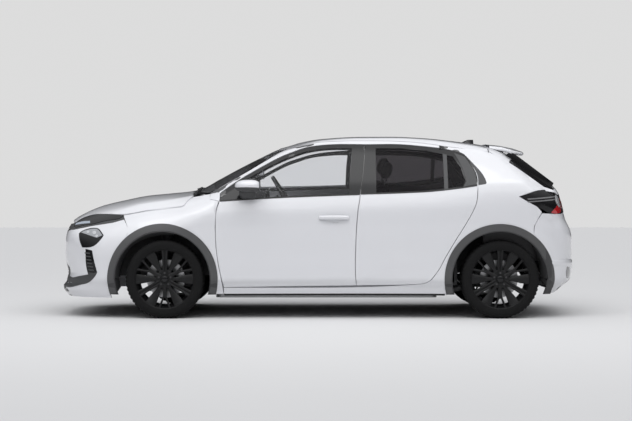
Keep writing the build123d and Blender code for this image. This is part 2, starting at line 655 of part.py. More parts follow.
def wheel_arch(x, side, inner):
    """Plastic arch trim around the opening and the liner behind it."""
    trim = side_slab((x - 460, x + 460), (180, 780), -4, 26)
    trim &= drum((x, 600, WHEEL_RADIUS), ARCH_OUTER - 1, 1400)
    trim -= drum((x, 600, WHEEL_RADIUS), ARCH_LIP, 1400)
    trim &= box((x - 460, x + 460), (0, 1200), (SILL_Z + 2, 800))
    liner = Pos(x, (inner + 870) / 2, WHEEL_RADIUS) * Rot(90, 0, 0) * (
        Cylinder(ARCH_LIP + 12, 870 - inner) - Cylinder(ARCH_LIP + 4, 900 - inner + 100)
    )
    liner &= box((x - 460, x + 460), (0, 1200), (WHEEL_RADIUS, 1000))
    return trim + liner


# ---------------------------------------------------------------- tailgate
def tailgate():
    """Upper frame around the rear window and the lower panel, in one pressing."""
    top = top_slab((-1960, TAILGATE_HINGE_X + 8), (-620, 620), 0, 40)
    half = [(TAILGATE_HINGE_X - 3, 0), (TAILGATE_HINGE_X - 3, 575), (-1480, 570), (-1560, 556), (-1700, 590)]
    half += [(-1845, 610), (-1950, 600), (-1950, 0)]
    outline = half + [(x, -y) for x, y in reversed(half[1:-1])]
    top &= prism("xy", outline, 700, 1600)
    top -= prism("xy", REAR_WINDOW, 700, 1600)
    lower = end_slab(-1, (-TAILGATE_HALF + 1, TAILGATE_HALF - 1), (TAILGATE_BOTTOM, 1075), 0, 60)
    return top + lower


def rear_window():
    pane = top_slab((-1935, -1590), (-560, 560), 3, 5)
    return pane & prism("xy", REAR_WINDOW, 700, 1600, inset=0.3)


def rear_spoiler():
    """Lip that carries the roof line past the top of the rear window."""
    section = [(-1470, 1412), (-1600, 1394), (-1735, 1352), (-1738, 1340), (-1640, 1338), (-1560, 1374), (-1480, 1402)]
    blade = prism("xz", section, -500, 500)
    return blade


def build():
    """Make every piece and write it."""
    save("battery_pack", battery_pack())
    save("drive_unit", drive_unit())
    save("floor_pan", floor_pan())
    save("front_bulkhead", front_bulkhead())
    frame = side_frame()
    save("left_side_frame", frame)
    save("right_side_frame", mirrored(frame))
    save("roof_panel", roof_panel())
    save("windscreen", windscreen())
    save("front_wings", both_sides(front_wing()))
    save("front_bumper", Compound(front_bumper().solids() + lower_grille().solids()))
    save("head_lamps", Compound(both_sides(head_lamp()).solids() + nose_strip().solids()))
    save("rear_bumper", rear_bumper())
    save("tail_lamps", both_sides(tail_lamp()))
    arches = both_sides(wheel_arch(ARCH_CENTRE_FRONT, 1, 462)).solids()
    arches += both_sides(wheel_arch(ARCH_CENTRE_REAR, 1, 600)).solids()
    save("wheel_arches", Compound(arches))
    save("dashboard", dashboard() + steering_column())
    save("centre_console", centre_console())
    save("front_seats", both_sides(front_seat()))
    save("rear_seat", rear_seat())
    save("front_suspension", front_suspension())
    save("rear_axle", rear_axle())
    save("bonnet", bonnet())
    save("tailgate", tailgate())
    save("rear_window", rear_window())
    save("rear_spoiler", rear_spoiler())
    save("steering_wheel", steering_wheel())
    front_door = hinged_door(FRONT_DOOR, [FRONT_GLASS], (-400, 830))
    rear_door = hinged_door(REAR_DOOR, [REAR_GLASS, QUARTER_GLASS], (-1310, -300))
    front_glass = window_pane(FRONT_GLASS)
    rear_glass = Compound([window_pane(REAR_GLASS), window_pane(QUARTER_GLASS)])
    mirror_left = door_mirror()
    for side_name, side, turn in (("left", 1, lambda s: s), ("right", -1, mirrored)):
        save(f"{side_name}_front_door", turn(front_door))
        save(f"{side_name}_front_door_glass", turn(front_glass))
        save(f"{side_name}_door_mirror", turn(mirror_left))
        save(f"{side_name}_rear_door", turn(rear_door))
        save(f"{side_name}_rear_door_glass", turn(rear_glass))
        save(f"{side_name}_front_knuckle", front_knuckle(side))
        for end, x in (("front", FRONT_AXLE_X), ("rear", REAR_AXLE_X)):
            save(f"{side_name}_{end}_tyre", tyre(x, side * TRACK_HALF))
            save(f"{side_name}_{end}_wheel", road_wheel(x, side))


build()
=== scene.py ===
import math

import bmesh
import bpy
import numpy as np
from mathutils import Matrix, Vector
from mathutils.geometry import delaunay_2d_cdt


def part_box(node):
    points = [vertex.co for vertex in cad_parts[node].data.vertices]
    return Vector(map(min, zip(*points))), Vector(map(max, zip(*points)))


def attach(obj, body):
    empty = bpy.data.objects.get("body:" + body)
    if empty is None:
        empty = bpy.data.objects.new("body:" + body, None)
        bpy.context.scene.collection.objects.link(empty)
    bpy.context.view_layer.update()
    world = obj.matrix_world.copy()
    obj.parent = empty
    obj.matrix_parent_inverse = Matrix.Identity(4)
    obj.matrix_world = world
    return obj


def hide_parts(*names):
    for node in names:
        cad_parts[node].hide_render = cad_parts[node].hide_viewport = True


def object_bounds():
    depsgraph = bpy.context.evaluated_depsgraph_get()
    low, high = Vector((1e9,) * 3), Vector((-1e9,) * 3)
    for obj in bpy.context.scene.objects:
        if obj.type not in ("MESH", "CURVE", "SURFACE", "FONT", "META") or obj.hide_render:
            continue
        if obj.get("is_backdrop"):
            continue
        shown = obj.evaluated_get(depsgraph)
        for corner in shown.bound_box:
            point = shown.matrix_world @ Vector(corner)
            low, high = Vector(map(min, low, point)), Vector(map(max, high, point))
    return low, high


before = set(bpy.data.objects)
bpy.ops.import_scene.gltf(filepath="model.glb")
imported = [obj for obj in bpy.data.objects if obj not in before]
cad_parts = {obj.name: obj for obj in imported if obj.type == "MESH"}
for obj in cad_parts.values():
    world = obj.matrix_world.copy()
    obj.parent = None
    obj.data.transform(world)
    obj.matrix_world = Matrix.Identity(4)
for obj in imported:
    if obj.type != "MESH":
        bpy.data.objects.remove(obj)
cad_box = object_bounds()

# ---------------------------------------------------------------- floor, light and camera
# The car stands on a plain pale studio floor, under wide soft lamps, and the camera looks level
# at its left side from well back.
scene = bpy.context.scene
scene.view_settings.view_transform = "Standard"


def group_socket(group, name, way, kind="NodeSocketFloat", value=None):
    made = group.interface.new_socket(name, in_out=way, socket_type=kind)
    if value is not None:
        made.default_value = value


def surface_change_group():
    """Slow change of colour and roughness over a surface, as any real finish has."""
    group = bpy.data.node_groups.new("surface change", "ShaderNodeTree")
    group_socket(group, "Colour", "INPUT", "NodeSocketColor")
    group_socket(group, "Roughness", "INPUT", value=0.5)
    group_socket(group, "Scale", "INPUT", value=6.0)
    group_socket(group, "Amount", "INPUT", value=0.1)
    group_socket(group, "Colour", "OUTPUT", "NodeSocketColor")
    group_socket(group, "Roughness", "OUTPUT")
    nodes, links = group.nodes, group.links
    entry, leave = nodes.new("NodeGroupInput"), nodes.new("NodeGroupOutput")
    place = nodes.new("ShaderNodeTexCoord")
    noise = nodes.new("ShaderNodeTexNoise")
    noise.inputs["Detail"].default_value = 6
    links.new(place.outputs["Object"], noise.inputs["Vector"])
    links.new(entry.outputs["Scale"], noise.inputs["Scale"])
    swing = nodes.new("ShaderNodeMath")
    swing.operation = "SUBTRACT"
    swing.inputs[1].default_value = 0.5
    links.new(noise.outputs["Fac"], swing.inputs[0])
    sized = nodes.new("ShaderNodeMath")
    sized.operation = "MULTIPLY"
    links.new(swing.outputs[0], sized.inputs[0])
    links.new(entry.outputs["Amount"], sized.inputs[1])
    bright = nodes.new("ShaderNodeMath")
    bright.inputs[1].default_value = 1.0
    links.new(sized.outputs[0], bright.inputs[0])
    tint = nodes.new("ShaderNodeVectorMath")
    tint.operation = "SCALE"
    links.new(entry.outputs["Colour"], tint.inputs[0])
    links.new(bright.outputs[0], tint.inputs["Scale"])
    links.new(tint.outputs[0], leave.inputs["Colour"])
    rough = nodes.new("ShaderNodeMath")
    rough.use_clamp = True
    links.new(entry.outputs["Roughness"], rough.inputs[0])
    links.new(sized.outputs[0], rough.inputs[1])
    links.new(rough.outputs[0], leave.inputs["Roughness"])
    return group


def grain_group():
    """Fine moulded, cast or leather grain as a normal."""
    group = bpy.data.node_groups.new("moulded grain", "ShaderNodeTree")
    group_socket(group, "Scale", "INPUT", value=900.0)
    group_socket(group, "Depth", "INPUT", value=0.2)
    group_socket(group, "Normal", "OUTPUT", "NodeSocketVector")
    nodes, links = group.nodes, group.links
    entry, leave = nodes.new("NodeGroupInput"), nodes.new("NodeGroupOutput")
    place = nodes.new("ShaderNodeTexCoord")
    cells = nodes.new("ShaderNodeTexVoronoi")
    links.new(place.outputs["Object"], cells.inputs["Vector"])
    links.new(entry.outputs["Scale"], cells.inputs["Scale"])
    bump = nodes.new("ShaderNodeBump")
    bump.inputs["Distance"].default_value = 0.0006
    links.new(entry.outputs["Depth"], bump.inputs["Strength"])
    links.new(cells.outputs["Distance"], bump.inputs["Height"])
    links.new(bump.outputs["Normal"], leave.inputs["Normal"])
    return group


surface_change = surface_change_group()
moulded_grain = grain_group()


def finish_of(name, colour, roughness, change=0.08, change_scale=6.0, grain=None, **shader_values):
    """A finish: its colour and roughness change slowly, and it may have a grain."""
    made = bpy.data.materials.new(name)
    made.use_nodes = True
    nodes, links = made.node_tree.nodes, made.node_tree.links
    shader = nodes["Principled BSDF"]
    varied = nodes.new("ShaderNodeGroup")
    varied.node_tree = surface_change
    varied.inputs["Colour"].default_value = (*colour, 1)
    varied.inputs["Roughness"].default_value = roughness
    varied.inputs["Scale"].default_value = change_scale
    varied.inputs["Amount"].default_value = change
    links.new(varied.outputs["Colour"], shader.inputs["Base Color"])
    links.new(varied.outputs["Roughness"], shader.inputs["Roughness"])
    if grain:
        grained = nodes.new("ShaderNodeGroup")
        grained.node_tree = moulded_grain
        grained.inputs["Scale"].default_value = grain[0]
        grained.inputs["Depth"].default_value = grain[1]
        links.new(grained.outputs["Normal"], shader.inputs["Normal"])
    for socket, value in shader_values.items():
        shader.inputs[socket.replace("_", " ")].default_value = value
    return made


def new_object(name, vertices, faces, finish, smooth=True, sharp=35):
    """A mesh object in metres from points in millimetres."""
    mesh = bpy.data.meshes.new(name)
    mesh.from_pydata([tuple(float(c) / 1000 for c in v) for v in vertices], [], faces)
    mesh.validate()
    made = bpy.data.objects.new(name, mesh)
    scene.collection.objects.link(made)
    mesh.materials.append(finish)
    if smooth:
        mesh.shade_smooth()
        mesh.set_sharp_from_angle(angle=math.radians(sharp))
    return made


floor_finish = finish_of("studio floor", (0.665, 0.665, 0.67), 0.9, change=0.01, change_scale=1.5,
    Specular_IOR_Level=0.0)
reach = 30000
floor_steps = np.linspace(-reach, reach, 13)
floor_points = [(x, y, 0) for y in floor_steps for x in floor_steps]
floor_faces = [
    (13 * r + c, 13 * r + c + 1, 13 * r + c + 14, 13 * r + c + 13) for r in range(12) for c in range(12)
]
floor = new_object("studio_floor", floor_points, floor_faces, floor_finish)
floor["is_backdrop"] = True

world = bpy.data.worlds.new("studio light")
scene.world = world
world.use_nodes = True
world_nodes, world_links = world.node_tree.nodes, world.node_tree.links
backdrop = world_nodes["Background"]
backdrop.inputs["Color"].default_value = (0.72, 0.72, 0.72, 1)
ceiling = world_nodes.new("ShaderNodeBackground")
ceiling.inputs["Color"].default_value = (0.97, 0.98, 1.0, 1)
direction = world_nodes.new("ShaderNodeTexCoord")
towards_lamps = world_nodes.new("ShaderNodeVectorMath")
towards_lamps.operation = "DOT_PRODUCT"
towards_lamps.inputs[1].default_value = (0.04, 0.22, 0.975)
world_links.new(direction.outputs["Generated"], towards_lamps.inputs[0])
rise = world_nodes.new("ShaderNodeMapRange")
rise.interpolation_type = "SMOOTHSTEP"
rise.inputs["From Min"].default_value = 0.10
rise.inputs["From Max"].default_value = 0.75
rise.inputs["To Min"].default_value = 0.03
rise.inputs["To Max"].default_value = 0.93
world_links.new(towards_lamps.outputs["Value"], rise.inputs["Value"])
world_links.new(rise.outputs[0], ceiling.inputs["Strength"])
seen = world_nodes.new("ShaderNodeLightPath")
chosen = world_nodes.new("ShaderNodeMixShader")
world_links.new(seen.outputs["Is Camera Ray"], chosen.inputs["Fac"])
world_links.new(ceiling.outputs[0], chosen.inputs[1])
world_links.new(backdrop.outputs[0], chosen.inputs[2])
world_links.new(chosen.outputs[0], world_nodes["World Output"].inputs["Surface"])


high_light = bpy.data.lights.new("high_light", "SUN")
high_light.energy = 0.95
high_light.angle = math.radians(75)
high_light_object = bpy.data.objects.new("high_light", high_light)
scene.collection.objects.link(high_light_object)
high_light_object.rotation_euler = (math.radians(-30), 0, 0)

long_box = bpy.data.lights.new("long_box", "AREA")
long_box.shape = "RECTANGLE"
long_box.size, long_box.size_y = 7, 1.6
long_box.energy = 60
long_box_object = bpy.data.objects.new("long_box", long_box)
scene.collection.objects.link(long_box_object)
long_box_object.location = (0, 3.0, 4.6)
long_box_object.rotation_euler = (math.radians(-34), 0, 0)

camera = bpy.data.cameras.new("camera")
camera.lens, camera.sensor_width = 91.8, 36
camera.shift_y = -0.034
camera.clip_end = 200
camera_object = bpy.data.objects.new("camera", camera)
scene.collection.objects.link(camera_object)
camera_object.location = (0.010, 13.870, 1.047)
camera_object.rotation_euler = (math.radians(90), 0, math.radians(180))
scene.camera = camera_object


# ---------------------------------------------------------------- door skins
# The doors are pressed steel, painted white, with returned edges. Their shape comes from one
# body surface that every outer panel shares, drawn in millimetres: sections along the car.
def smooth_curve(*points):
    """A smooth curve through (station, value) points that never overshoots them."""
    x = np.array([p[0] for p in points], float)
    y = np.array([p[1] for p in points], float)
    run = np.diff(x)
    slope = np.diff(y) / run
    tangent = np.zeros(len(x))
    tangent[0], tangent[-1] = slope[0], slope[-1]
    for i in range(1, len(x) - 1):
        if slope[i - 1] * slope[i] > 0:
            weights = 2 * run[i] + run[i - 1], run[i] + 2 * run[i - 1]
            tangent[i] = sum(weights) / (weights[0] / slope[i - 1] + weights[1] / slope[i])

    def value(at):
        at = np.clip(np.asarray(at, float), x[0], x[-1])
        k = np.clip(np.searchsorted(x, at) - 1, 0, len(x) - 2)
        t = (at - x[k]) / run[k]
        return (
            (1 + 2 * t) * (1 - t) ** 2 * y[k]
            + t * (1 - t) ** 2 * run[k] * tangent[k]
            + t * t * (3 - 2 * t) * y[k + 1]
            + t * t * (t - 1) * run[k] * tangent[k + 1]
        )

    return value


half_width = smooth_curve(
    (-2140, 770), (-1950, 846), (-1750, 886), (-1479, 900), (-1200, 897), (-900, 890), (-300, 884),
    (300, 884), (800, 888), (1100, 893), (1300, 893), (1500, 880), (1700, 852), (1900, 806), (2140, 730),
)
belt_height = smooth_curve(
    (-2140, 1100), (-1368, 1085), (-1178, 1057), (-911, 1027), (-669, 1015), (-354, 1006),
    (301, 977), (791, 947), (1300, 930), (2140, 900),
)
lean_in = smooth_curve(
    (-240, 0), (-180, 1.5), (-120, 6), (-60, 16), (0, 34), (60, 57), (120, 83), (200, 122),
    (300, 177), (400, 239), (500, 306),
)
tuck_under = smooth_curve((160, 74), (200, 56), (262, 36), (322, 9), (420, 10), (540, 8), (640, 3),
    (740, 0))
middle_line = smooth_curve(
    (-2100, 880), (-2066, 960), (-2040, 1040), (-1988, 1092), (-1936, 1129), (-1850, 1185), (-1746, 1254),
    (-1600, 1345), (-1520, 1386), (-1402, 1417), (-1144, 1452), (-885, 1478), (-627, 1489), (-369, 1488),
    (-24, 1469), (148, 1439), (234, 1413), (320, 1388), (492, 1308), (664, 1221), (837, 1127), (990, 1046),
    (1060, 1028), (1267, 1006), (1439, 989), (1611, 956), (1818, 907), (1921, 874), (1990, 843),
    (2059, 800), (2100, 745), (2140, 640),
)
plan_bow = smooth_curve((-1750, -95), (-1100, 0), (-300, 0), (250, 100), (880, 100), (1400, 0))
crown = smooth_curve((-2100, 50), (-1500, 40), (-600, 31), (200, 31), (900, 34), (1166, 55), (1511, 78),
    (1900, 115))
nose_line = smooth_curve(
    (150, 2096), (174, 2106), (200, 2123), (226, 2139), (250, 2140), (275, 2116), (300, 2111), (325, 2105),
    (351, 2097), (376, 2099), (401, 2106), (451, 2116), (520, 2123), (620, 2122), (700, 2110), (760, 2086),
    (800, 2062), (843, 1992), (900, 1880),
)
tail_line = smooth_curve(
    (190, -1990), (234, -2031), (259, -2062), (284, -2097), (309, -2117), (359, -2130), (408, -2140),
    (483, -2131), (632, -2129), (695, -2121), (732, -2106), (782, -2082), (831, -2068), (881, -2072),
    (950, -2064), (1000, -2053), (1050, -2036), (1100, -1990),
)
shoulder_round = smooth_curve((-2100, 130), (-1700, 90), (-1300, 60), (700, 60), (1000, 190), (1300, 300),
    (2100, 300))


def soft_max(a, b, round_by):
    blend = np.maximum(round_by - np.abs(a - b), 0)
    return np.maximum(a, b) + blend * blend / (4 * round_by)


def outside_by(x, y, z):
    """Negative inside the body surface, zero on it and positive outside."""
    y = np.abs(y)
    over_belt = z - belt_height(x)
    narrow = np.maximum(over_belt, 0) / 400 * 60 * ((x + 250) / 1000) ** 2
    side = y - (half_width(x) - tuck_under(z) - lean_in(over_belt) - narrow)
    top = z - middle_line(x + plan_bow(x) * (y / 740) ** 2) + crown(x) * (y / 650) ** 2.4
    front = x - nose_line(z) + 1.6e-4 * y * y
    rear = tail_line(z) + 1.0e-4 * y * y - x
    share = np.clip(0.5 + (side - top) / 400, 0, 1)
    end_round = 60 + 240 * share * share * (3 - 2 * share)
    skin = soft_max(side, top, shoulder_round(x))
    return soft_max(soft_max(skin, front, end_round), rear, end_round)


def meet_skin(start, step):
    """The points where lines from inside the body, along step, meet its surface."""
    start = [np.asarray(s, float) for s in start]
    low = np.zeros(np.broadcast(*start, *step).shape)
    high = np.full(low.shape, 2600.0)
    for _ in range(24):
        middle = (low + high) / 2
        inside = outside_by(*(s + middle * d for s, d in zip(start, step))) < 0
        low, high = np.where(inside, middle, low), np.where(inside, high, middle)
    return np.stack([s + low * d + 0 * low for s, d in zip(start, step)], axis=-1)


def outward_of(points):
    """Unit vectors straight out of the body surface at points on it."""
    x, y, z = points[..., 0], points[..., 1], points[..., 2]
    slopes = [
        outside_by(x + a, y + b, z + c) - outside_by(x - a, y - b, z - c)
        for a, b, c in ((2, 0, 0), (0, 2, 0), (0, 0, 2))
    ]
    normal = np.stack(slopes, axis=-1)
    return normal / np.linalg.norm(normal, axis=-1, keepdims=True)


def in_side_view(*corners):
    """Points on the left side of the body from (x, z)."""
    x, z = np.array(corners, float).T
    return meet_skin((x, 0 * x, z), (0.0, 1.0, 0.0))


def in_plan(*corners):
    """Points on top of the body from (x, y)."""
    x, y = np.array(corners, float).T
    return meet_skin((x, y, 500 + 0 * x), (0.0, 0.0, 1.0))


def from_ahead(*corners):
    """Points on the nose from (y, z)."""
    y, z = np.array(corners, float).T
    return meet_skin((1500 + 0 * y, y, z), (1.0, 0.0, 0.0))


def from_behind(*corners):
    """Points on the tail from (y, z)."""
    y, z = np.array(corners, float).T
    return meet_skin((-1500 + 0 * y, y, z), (-1.0, 0.0, 0.0))


# Two ways to unroll the surface: round the car's length, and round the nose or the tail.
def unroll_sides(points):
    return np.stack([points[:, 0], 900 * np.arctan2(points[:, 2] - 500, points[:, 1])], axis=1)


def roll_sides(flat):
    turn = flat[:, 1] / 900
    return meet_skin((flat[:, 0], 0 * turn, 500 + 0 * turn), (0.0, np.cos(turn), np.sin(turn)))


def unroll_end(way):
    return lambda points: np.stack(
        [700 * np.arctan2(points[:, 1], way * points[:, 0] - 1500), points[:, 2]], axis=1
    )


def roll_end(way):
    def roll(flat):
        turn = flat[:, 0] / 700
        return meet_skin((way * 1500 + 0 * turn, 0 * turn, flat[:, 1]), (way * np.cos(turn), np.sin(turn),
            0.0))

    return roll


def rounded_line(points, step, sharp=38):
    """A closed outline resampled evenly, smooth through its gentle bends and sharp at its corners."""
    points = np.asarray(points, float)
    ahead = np.roll(points, -1, axis=0) - points
    length = np.maximum(np.linalg.norm(ahead, axis=1), 1e-6)
    way = ahead / length[:, None]
    back = np.roll(way, 1, axis=0)
    gentle = np.sum(way * back, axis=1) > math.cos(math.radians(sharp))
    mean = way + back
    mean /= np.maximum(np.linalg.norm(mean, axis=1, keepdims=True), 1e-6)
    leave = np.where(gentle[:, None], mean, way)
    arrive = np.roll(np.where(gentle[:, None], mean, back), -1, axis=0)
    line = []
    for i in range(len(points)):
        t = np.arange(max(1, round(length[i] / step)))[:, None] / max(1, round(length[i] / step))
        line.append(
            (1 + 2 * t) * (1 - t) ** 2 * points[i]
            + t * (1 - t) ** 2 * length[i] * leave[i]
            + t * t * (3 - 2 * t) * np.roll(points, -1, axis=0)[i]
            + t * t * (t - 1) * length[i] * arrive[i]
        )
    return np.concatenate(line)


def inside_of(line, points):
    """Which points lie inside a closed outline."""
    x, y = points[:, 0][:, None], points[:, 1][:, None]
    ax, ay = line[:, 0][None], line[:, 1][None]
    bx, by = np.roll(line, -1, axis=0).T
    crosses = (ay > y) != (by > y)
    with np.errstate(divide="ignore", invalid="ignore"):
        meet = ax + (y - ay) / (by - ay) * (bx - ax)
    return np.sum(crosses & (x < meet), axis=1) % 2 == 1


def distance_to(line, points):
    """How far points lie from the nearest point of an outline."""
    return np.min(np.linalg.norm(points[:, None] - line[None], axis=2), axis=1)


def body_panel(name, outline, finish, body, slot, holes=(), proud=2.0, edge=16.0, spacing=26.0,
    chart="sides",
               relief=None, side=1, sharp=38):
    """A pressing on the body surface inside an outline, with its edges turned in."""
    unroll, roll = {
        "sides": (unroll_sides, roll_sides), "nose": (unroll_end(1), roll_end(1)),
            "tail": (unroll_end(-1), roll_end(-1)),
    }[chart]
    rims = [rounded_line(unroll(loop), spacing / 2, sharp) for loop in (outline, *holes)]
    low, high = rims[0].min(axis=0), rims[0].max(axis=0)
    grid_x, grid_y = np.meshgrid(np.arange(low[0], high[0], spacing), np.arange(low[1], high[1], spacing
        * 0.87))
    grid_x = grid_x + (np.arange(grid_x.shape[0]) % 2)[:, None] * spacing / 2
    inner = np.stack([grid_x.ravel(), grid_y.ravel()], axis=1)
    inner = inner[inside_of(rims[0], inner)]
    for rim in rims[1:]:
        inner = inner[~inside_of(rim, inner)]
    for rim in rims:
        inner = inner[distance_to(rim, inner) > spacing * 0.55]
    edges, count = [], 0
    for rim in rims:
        edges += [(count + i, count + (i + 1) % len(rim)) for i in range(len(rim))]
        count += len(rim)
    points = np.concatenate([*rims, inner])
    corners, _, faces, _, _, _ = delaunay_2d_cdt([Vector(p) for p in points], edges, [], 1, 1e-3)
    flat = np.array([tuple(c) for c in corners])
    middles = flat[np.array(faces)].mean(axis=1)
    kept = inside_of(rims[0], middles)
    for rim in rims[1:]:
        kept &= ~inside_of(rim, middles)
    faces = [tuple(f) for f, keep in zip(faces, kept) if keep]
    skin = roll(flat)
    normal = outward_of(skin)
    lift = proud + (relief(skin) if relief else 0)
    outer = skin + normal * np.asarray(lift).reshape(-1, 1)
    first = np.array([outer[i] for i in faces[0]])
    if np.dot(np.cross(first[1] - first[0], first[2] - first[0]), normal[faces[0][0]]) < 0:
        faces = [f[::-1] for f in faces]
    used = {}
    for face in faces:
        for a, b in zip(face, face[1:] + face[:1]):
            used[(a, b)] = True
    border = [(a, b) for a, b in used if (b, a) not in used]
    turned = {a: len(outer) + i for i, a in enumerate(dict.fromkeys(a for pair in border for a in pair))}
    back = np.array([outer[a] - normal[a] * edge for a in turned])
    faces += [(b, a, turned[a], turned[b]) for a, b in border]
    vertices = np.concatenate([outer, back])
    if side < 0:
        vertices[:, 1] *= -1
        faces = [f[::-1] for f in faces]
    made = new_object(name, vertices, faces, finish)
    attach(made, body)
    return made


def both(make, name, *args, **kwargs):
    """The same pressing on the left and, mirrored, on the right. {} in name and body takes the side."""
    body = kwargs.pop("body")
    for word, side in (("left", 1), ("right", -1)):
        make(f"{word}_{name}", *args, body=body.format(word), side=side, **kwargs)


def wheel_arc(centre_x, radius, start, stop, count=40):
    """(x, z) points of a circle about a wheel arch's centre, between two angles in degrees."""
    angles = np.radians(np.linspace(start, stop, count))
    return [(centre_x + radius * math.cos(a), 318 + radius * math.sin(a)) for a in angles]


low_crease = smooth_curve((-1000, 470), (-764, 414), (-696, 402), (-573, 379), (-458, 360), (-309, 344),
    (655, 309), (900, 300))
high_crease = smooth_curve((-2000, 925), (-1500, 925), (-900, 905), (-300, 880), (300, 862), (800, 850),
    (1200, 838), (1600, 800))


def pressed_lines(points):
    """Shallow lines pressed along the doors and wings: one under the belt and one over the sill."""
    above_low = points[:, 2] - low_crease(points[:, 0])
    fade = np.clip((points[:, 0] + 900) / 200, 0, 1) * np.clip((800 - points[:, 0]) / 120, 0, 1)
    low = np.where(above_low > 0, np.exp(-above_low / 60), np.exp(above_low / 14)) * 5.0 * fade
    above_high = points[:, 2] - high_crease(points[:, 0])
    high = np.where(above_high > 0, np.exp(-above_high / 26), np.exp(above_high / 55)) * 3.0
    return low + high * np.clip((1500 - points[:, 0]) / 300, 0, 1)


white_paint = finish_of(
    "white pearl paint", (0.70, 0.705, 0.735), 0.34, change=0.03, change_scale=2.5,
    Coat_Weight=1.0, Coat_Roughness=0.04, Specular_IOR_Level=0.5,
)
front_door_front = [(787, 948), (811, 878), (819, 742), (813, 581), (796, 445), (771, 326), (751, 254)]
door_split = [(-314, 270), (-305, 360), (-306, 531), (-314, 742), (-327, 886), (-339, 954), (-345, 1003)]
front_belt = [(-100, 996), (301, 979), (560, 964)]
both(
    body_panel, "front_door_skin", in_side_view(*front_door_front, *door_split, *front_belt), white_paint,
    slot="body_paint", body="{}_front_door", edge=24, relief=pressed_lines,
)
rear_split = [(x - 6, z) for x, z in door_split]
rear_belt = [(-669, 1017), (-911, 1029), (-1178, 1059)]
rear_door_rear = [
    (-1293, 1072), (-1284, 954), (-1271, 910), (-1249, 862), (-1187, 754), (-1110, 630), (-1033, 499),
    (-979, 399), (-940, 345), (-902, 306), (-858, 287), (-796, 280),
]
both(
    body_panel, "rear_door_skin", in_side_view(*rear_split, *rear_belt, *rear_door_rear), white_paint,
    slot="body_paint", body="{}_rear_door", edge=24, relief=pressed_lines,
)

# ---------------------------------------------------------------- side windows
# Flush dark side glass in one smooth band: a gloss black border printed and moulded round the
# clear front pane and the privacy-dark rear panes, with a black bar and a grained corner piece.
def glass_finish(name, colour, roughness, alpha_like):
    made = bpy.data.materials.new(name)
    made.use_nodes = True
    nodes, links = made.node_tree.nodes, made.node_tree.links
    shader = nodes["Principled BSDF"]
    varied = nodes.new("ShaderNodeGroup")
    varied.node_tree = surface_change
    varied.inputs["Colour"].default_value = (*colour, 1)
    varied.inputs["Roughness"].default_value = roughness
    varied.inputs["Scale"].default_value = 3.0
    varied.inputs["Amount"].default_value = 0.02
    links.new(varied.outputs["Colour"], shader.inputs["Base Color"])
    links.new(varied.outputs["Roughness"], shader.inputs["Roughness"])
    shader.inputs["Transmission Weight"].default_value = alpha_like
    shader.inputs["IOR"].default_value = 1.12
    return made


gloss_black = finish_of("gloss black", (0.008, 0.008, 0.009), 0.14, change=0.05, Specular_IOR_Level=0.35)
seal_rubber = finish_of("seal rubber", (0.018, 0.018, 0.019), 0.6, change=0.15, change_scale=30,
    grain=(1500, 0.15))
front_glass_finish = glass_finish("clear side glass", (0.90, 0.91, 0.93), 0.02, 0.97)
privacy_glass_finish = glass_finish("privacy glass", (0.06, 0.055, 0.06), 0.03, 0.85)
front_pane = [
    (-258, 1006), (301, 986), (612, 967), (612, 1100), (432, 1208), (308, 1272), (210, 1313), (116, 1346),
    (-9, 1370), (-134, 1379), (-282, 1379), (-277, 1282), (-266, 1175),
]
rear_pane = [
    (-478, 1012), (-669, 1022), (-1026, 1042), (-1026, 1330), (-890, 1361), (-678, 1379), (-478, 1379),
]
quarter_pane = [(-1058, 1045), (-1178, 1066), (-1200, 1110), (-1165, 1225), (-1104, 1313), (-1058, 1322)]
front_door_top = [
    (-134, 1409), (-9, 1400), (116, 1377), (210, 1343), (308, 1302), (432, 1236), (642, 1111), (783, 1011),
]
both(
    body_panel, "front_window_border",
    in_side_view((786, 951), *front_belt[::-1], (-345, 1007), (-348, 1039), (-369, 1175), (-390, 1408),
        *front_door_top),
    gloss_black, slot="gloss_black", body="{}_front_door", holes=[in_side_view(*front_pane)], edge=24,
    proud=1.6,
)
both(
    body_panel, "rear_window_border",
    in_side_view(
        *rear_belt, (-1291, 1076), (-1286, 1161), (-1207, 1315), (-1194, 1329), (-1110, 1357),
            (-1015, 1376),
        (-890, 1391), (-678, 1409), (-396, 1408), (-375, 1175), (-354, 1039), (-351, 1007),
    ),
    gloss_black, slot="gloss_black", body="{}_rear_door",
    holes=[in_side_view(*rear_pane), in_side_view(*quarter_pane)], edge=24, proud=1.6,
)
corner_grain = finish_of(
    "grained dark trim", (0.050, 0.051, 0.053), 0.5, change=0.12, change_scale=20, grain=(700, 0.5),
)
both(
    body_panel, "rear_door_corner_trim",
    in_side_view((-1186, 1067), (-1284, 1084), (-1280, 1158), (-1206, 1308), (-1120, 1340), (-1176, 1225),
        (-1209, 1110)),
    corner_grain, slot="black_trim", body="{}_rear_door", edge=3, proud=3.2, spacing=18,
)
both(
    body_panel, "body_corner_trim",
    in_side_view((-1301, 1078), (-1370, 1087), (-1355, 1135), (-1322, 1190), (-1263, 1259), (-1212, 1318),
        (-1296, 1160)),
    corner_grain, slot="black_trim", body="car_body", edge=3, proud=4.0, spacing=18,
)
both(
    body_panel, "front_door_glass_pane", in_side_view(*front_pane), front_glass_finish,
    slot="clear_glass", body="{}_front_door", edge=4, proud=-2.5,
)
both(
    body_panel, "rear_door_glass_pane", in_side_view(*rear_pane), privacy_glass_finish,
    slot="dark_glass", body="{}_rear_door", edge=4, proud=-2.5,
)
both(
    body_panel, "quarter_glass_pane", in_side_view(*quarter_pane), privacy_glass_finish,
    slot="dark_glass", body="{}_rear_door", edge=4, proud=-2.5,
)
for word in ("left", "right"):
    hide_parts(f"{word}_front_door_glass")
    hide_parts(f"{word}_rear_door_glass")
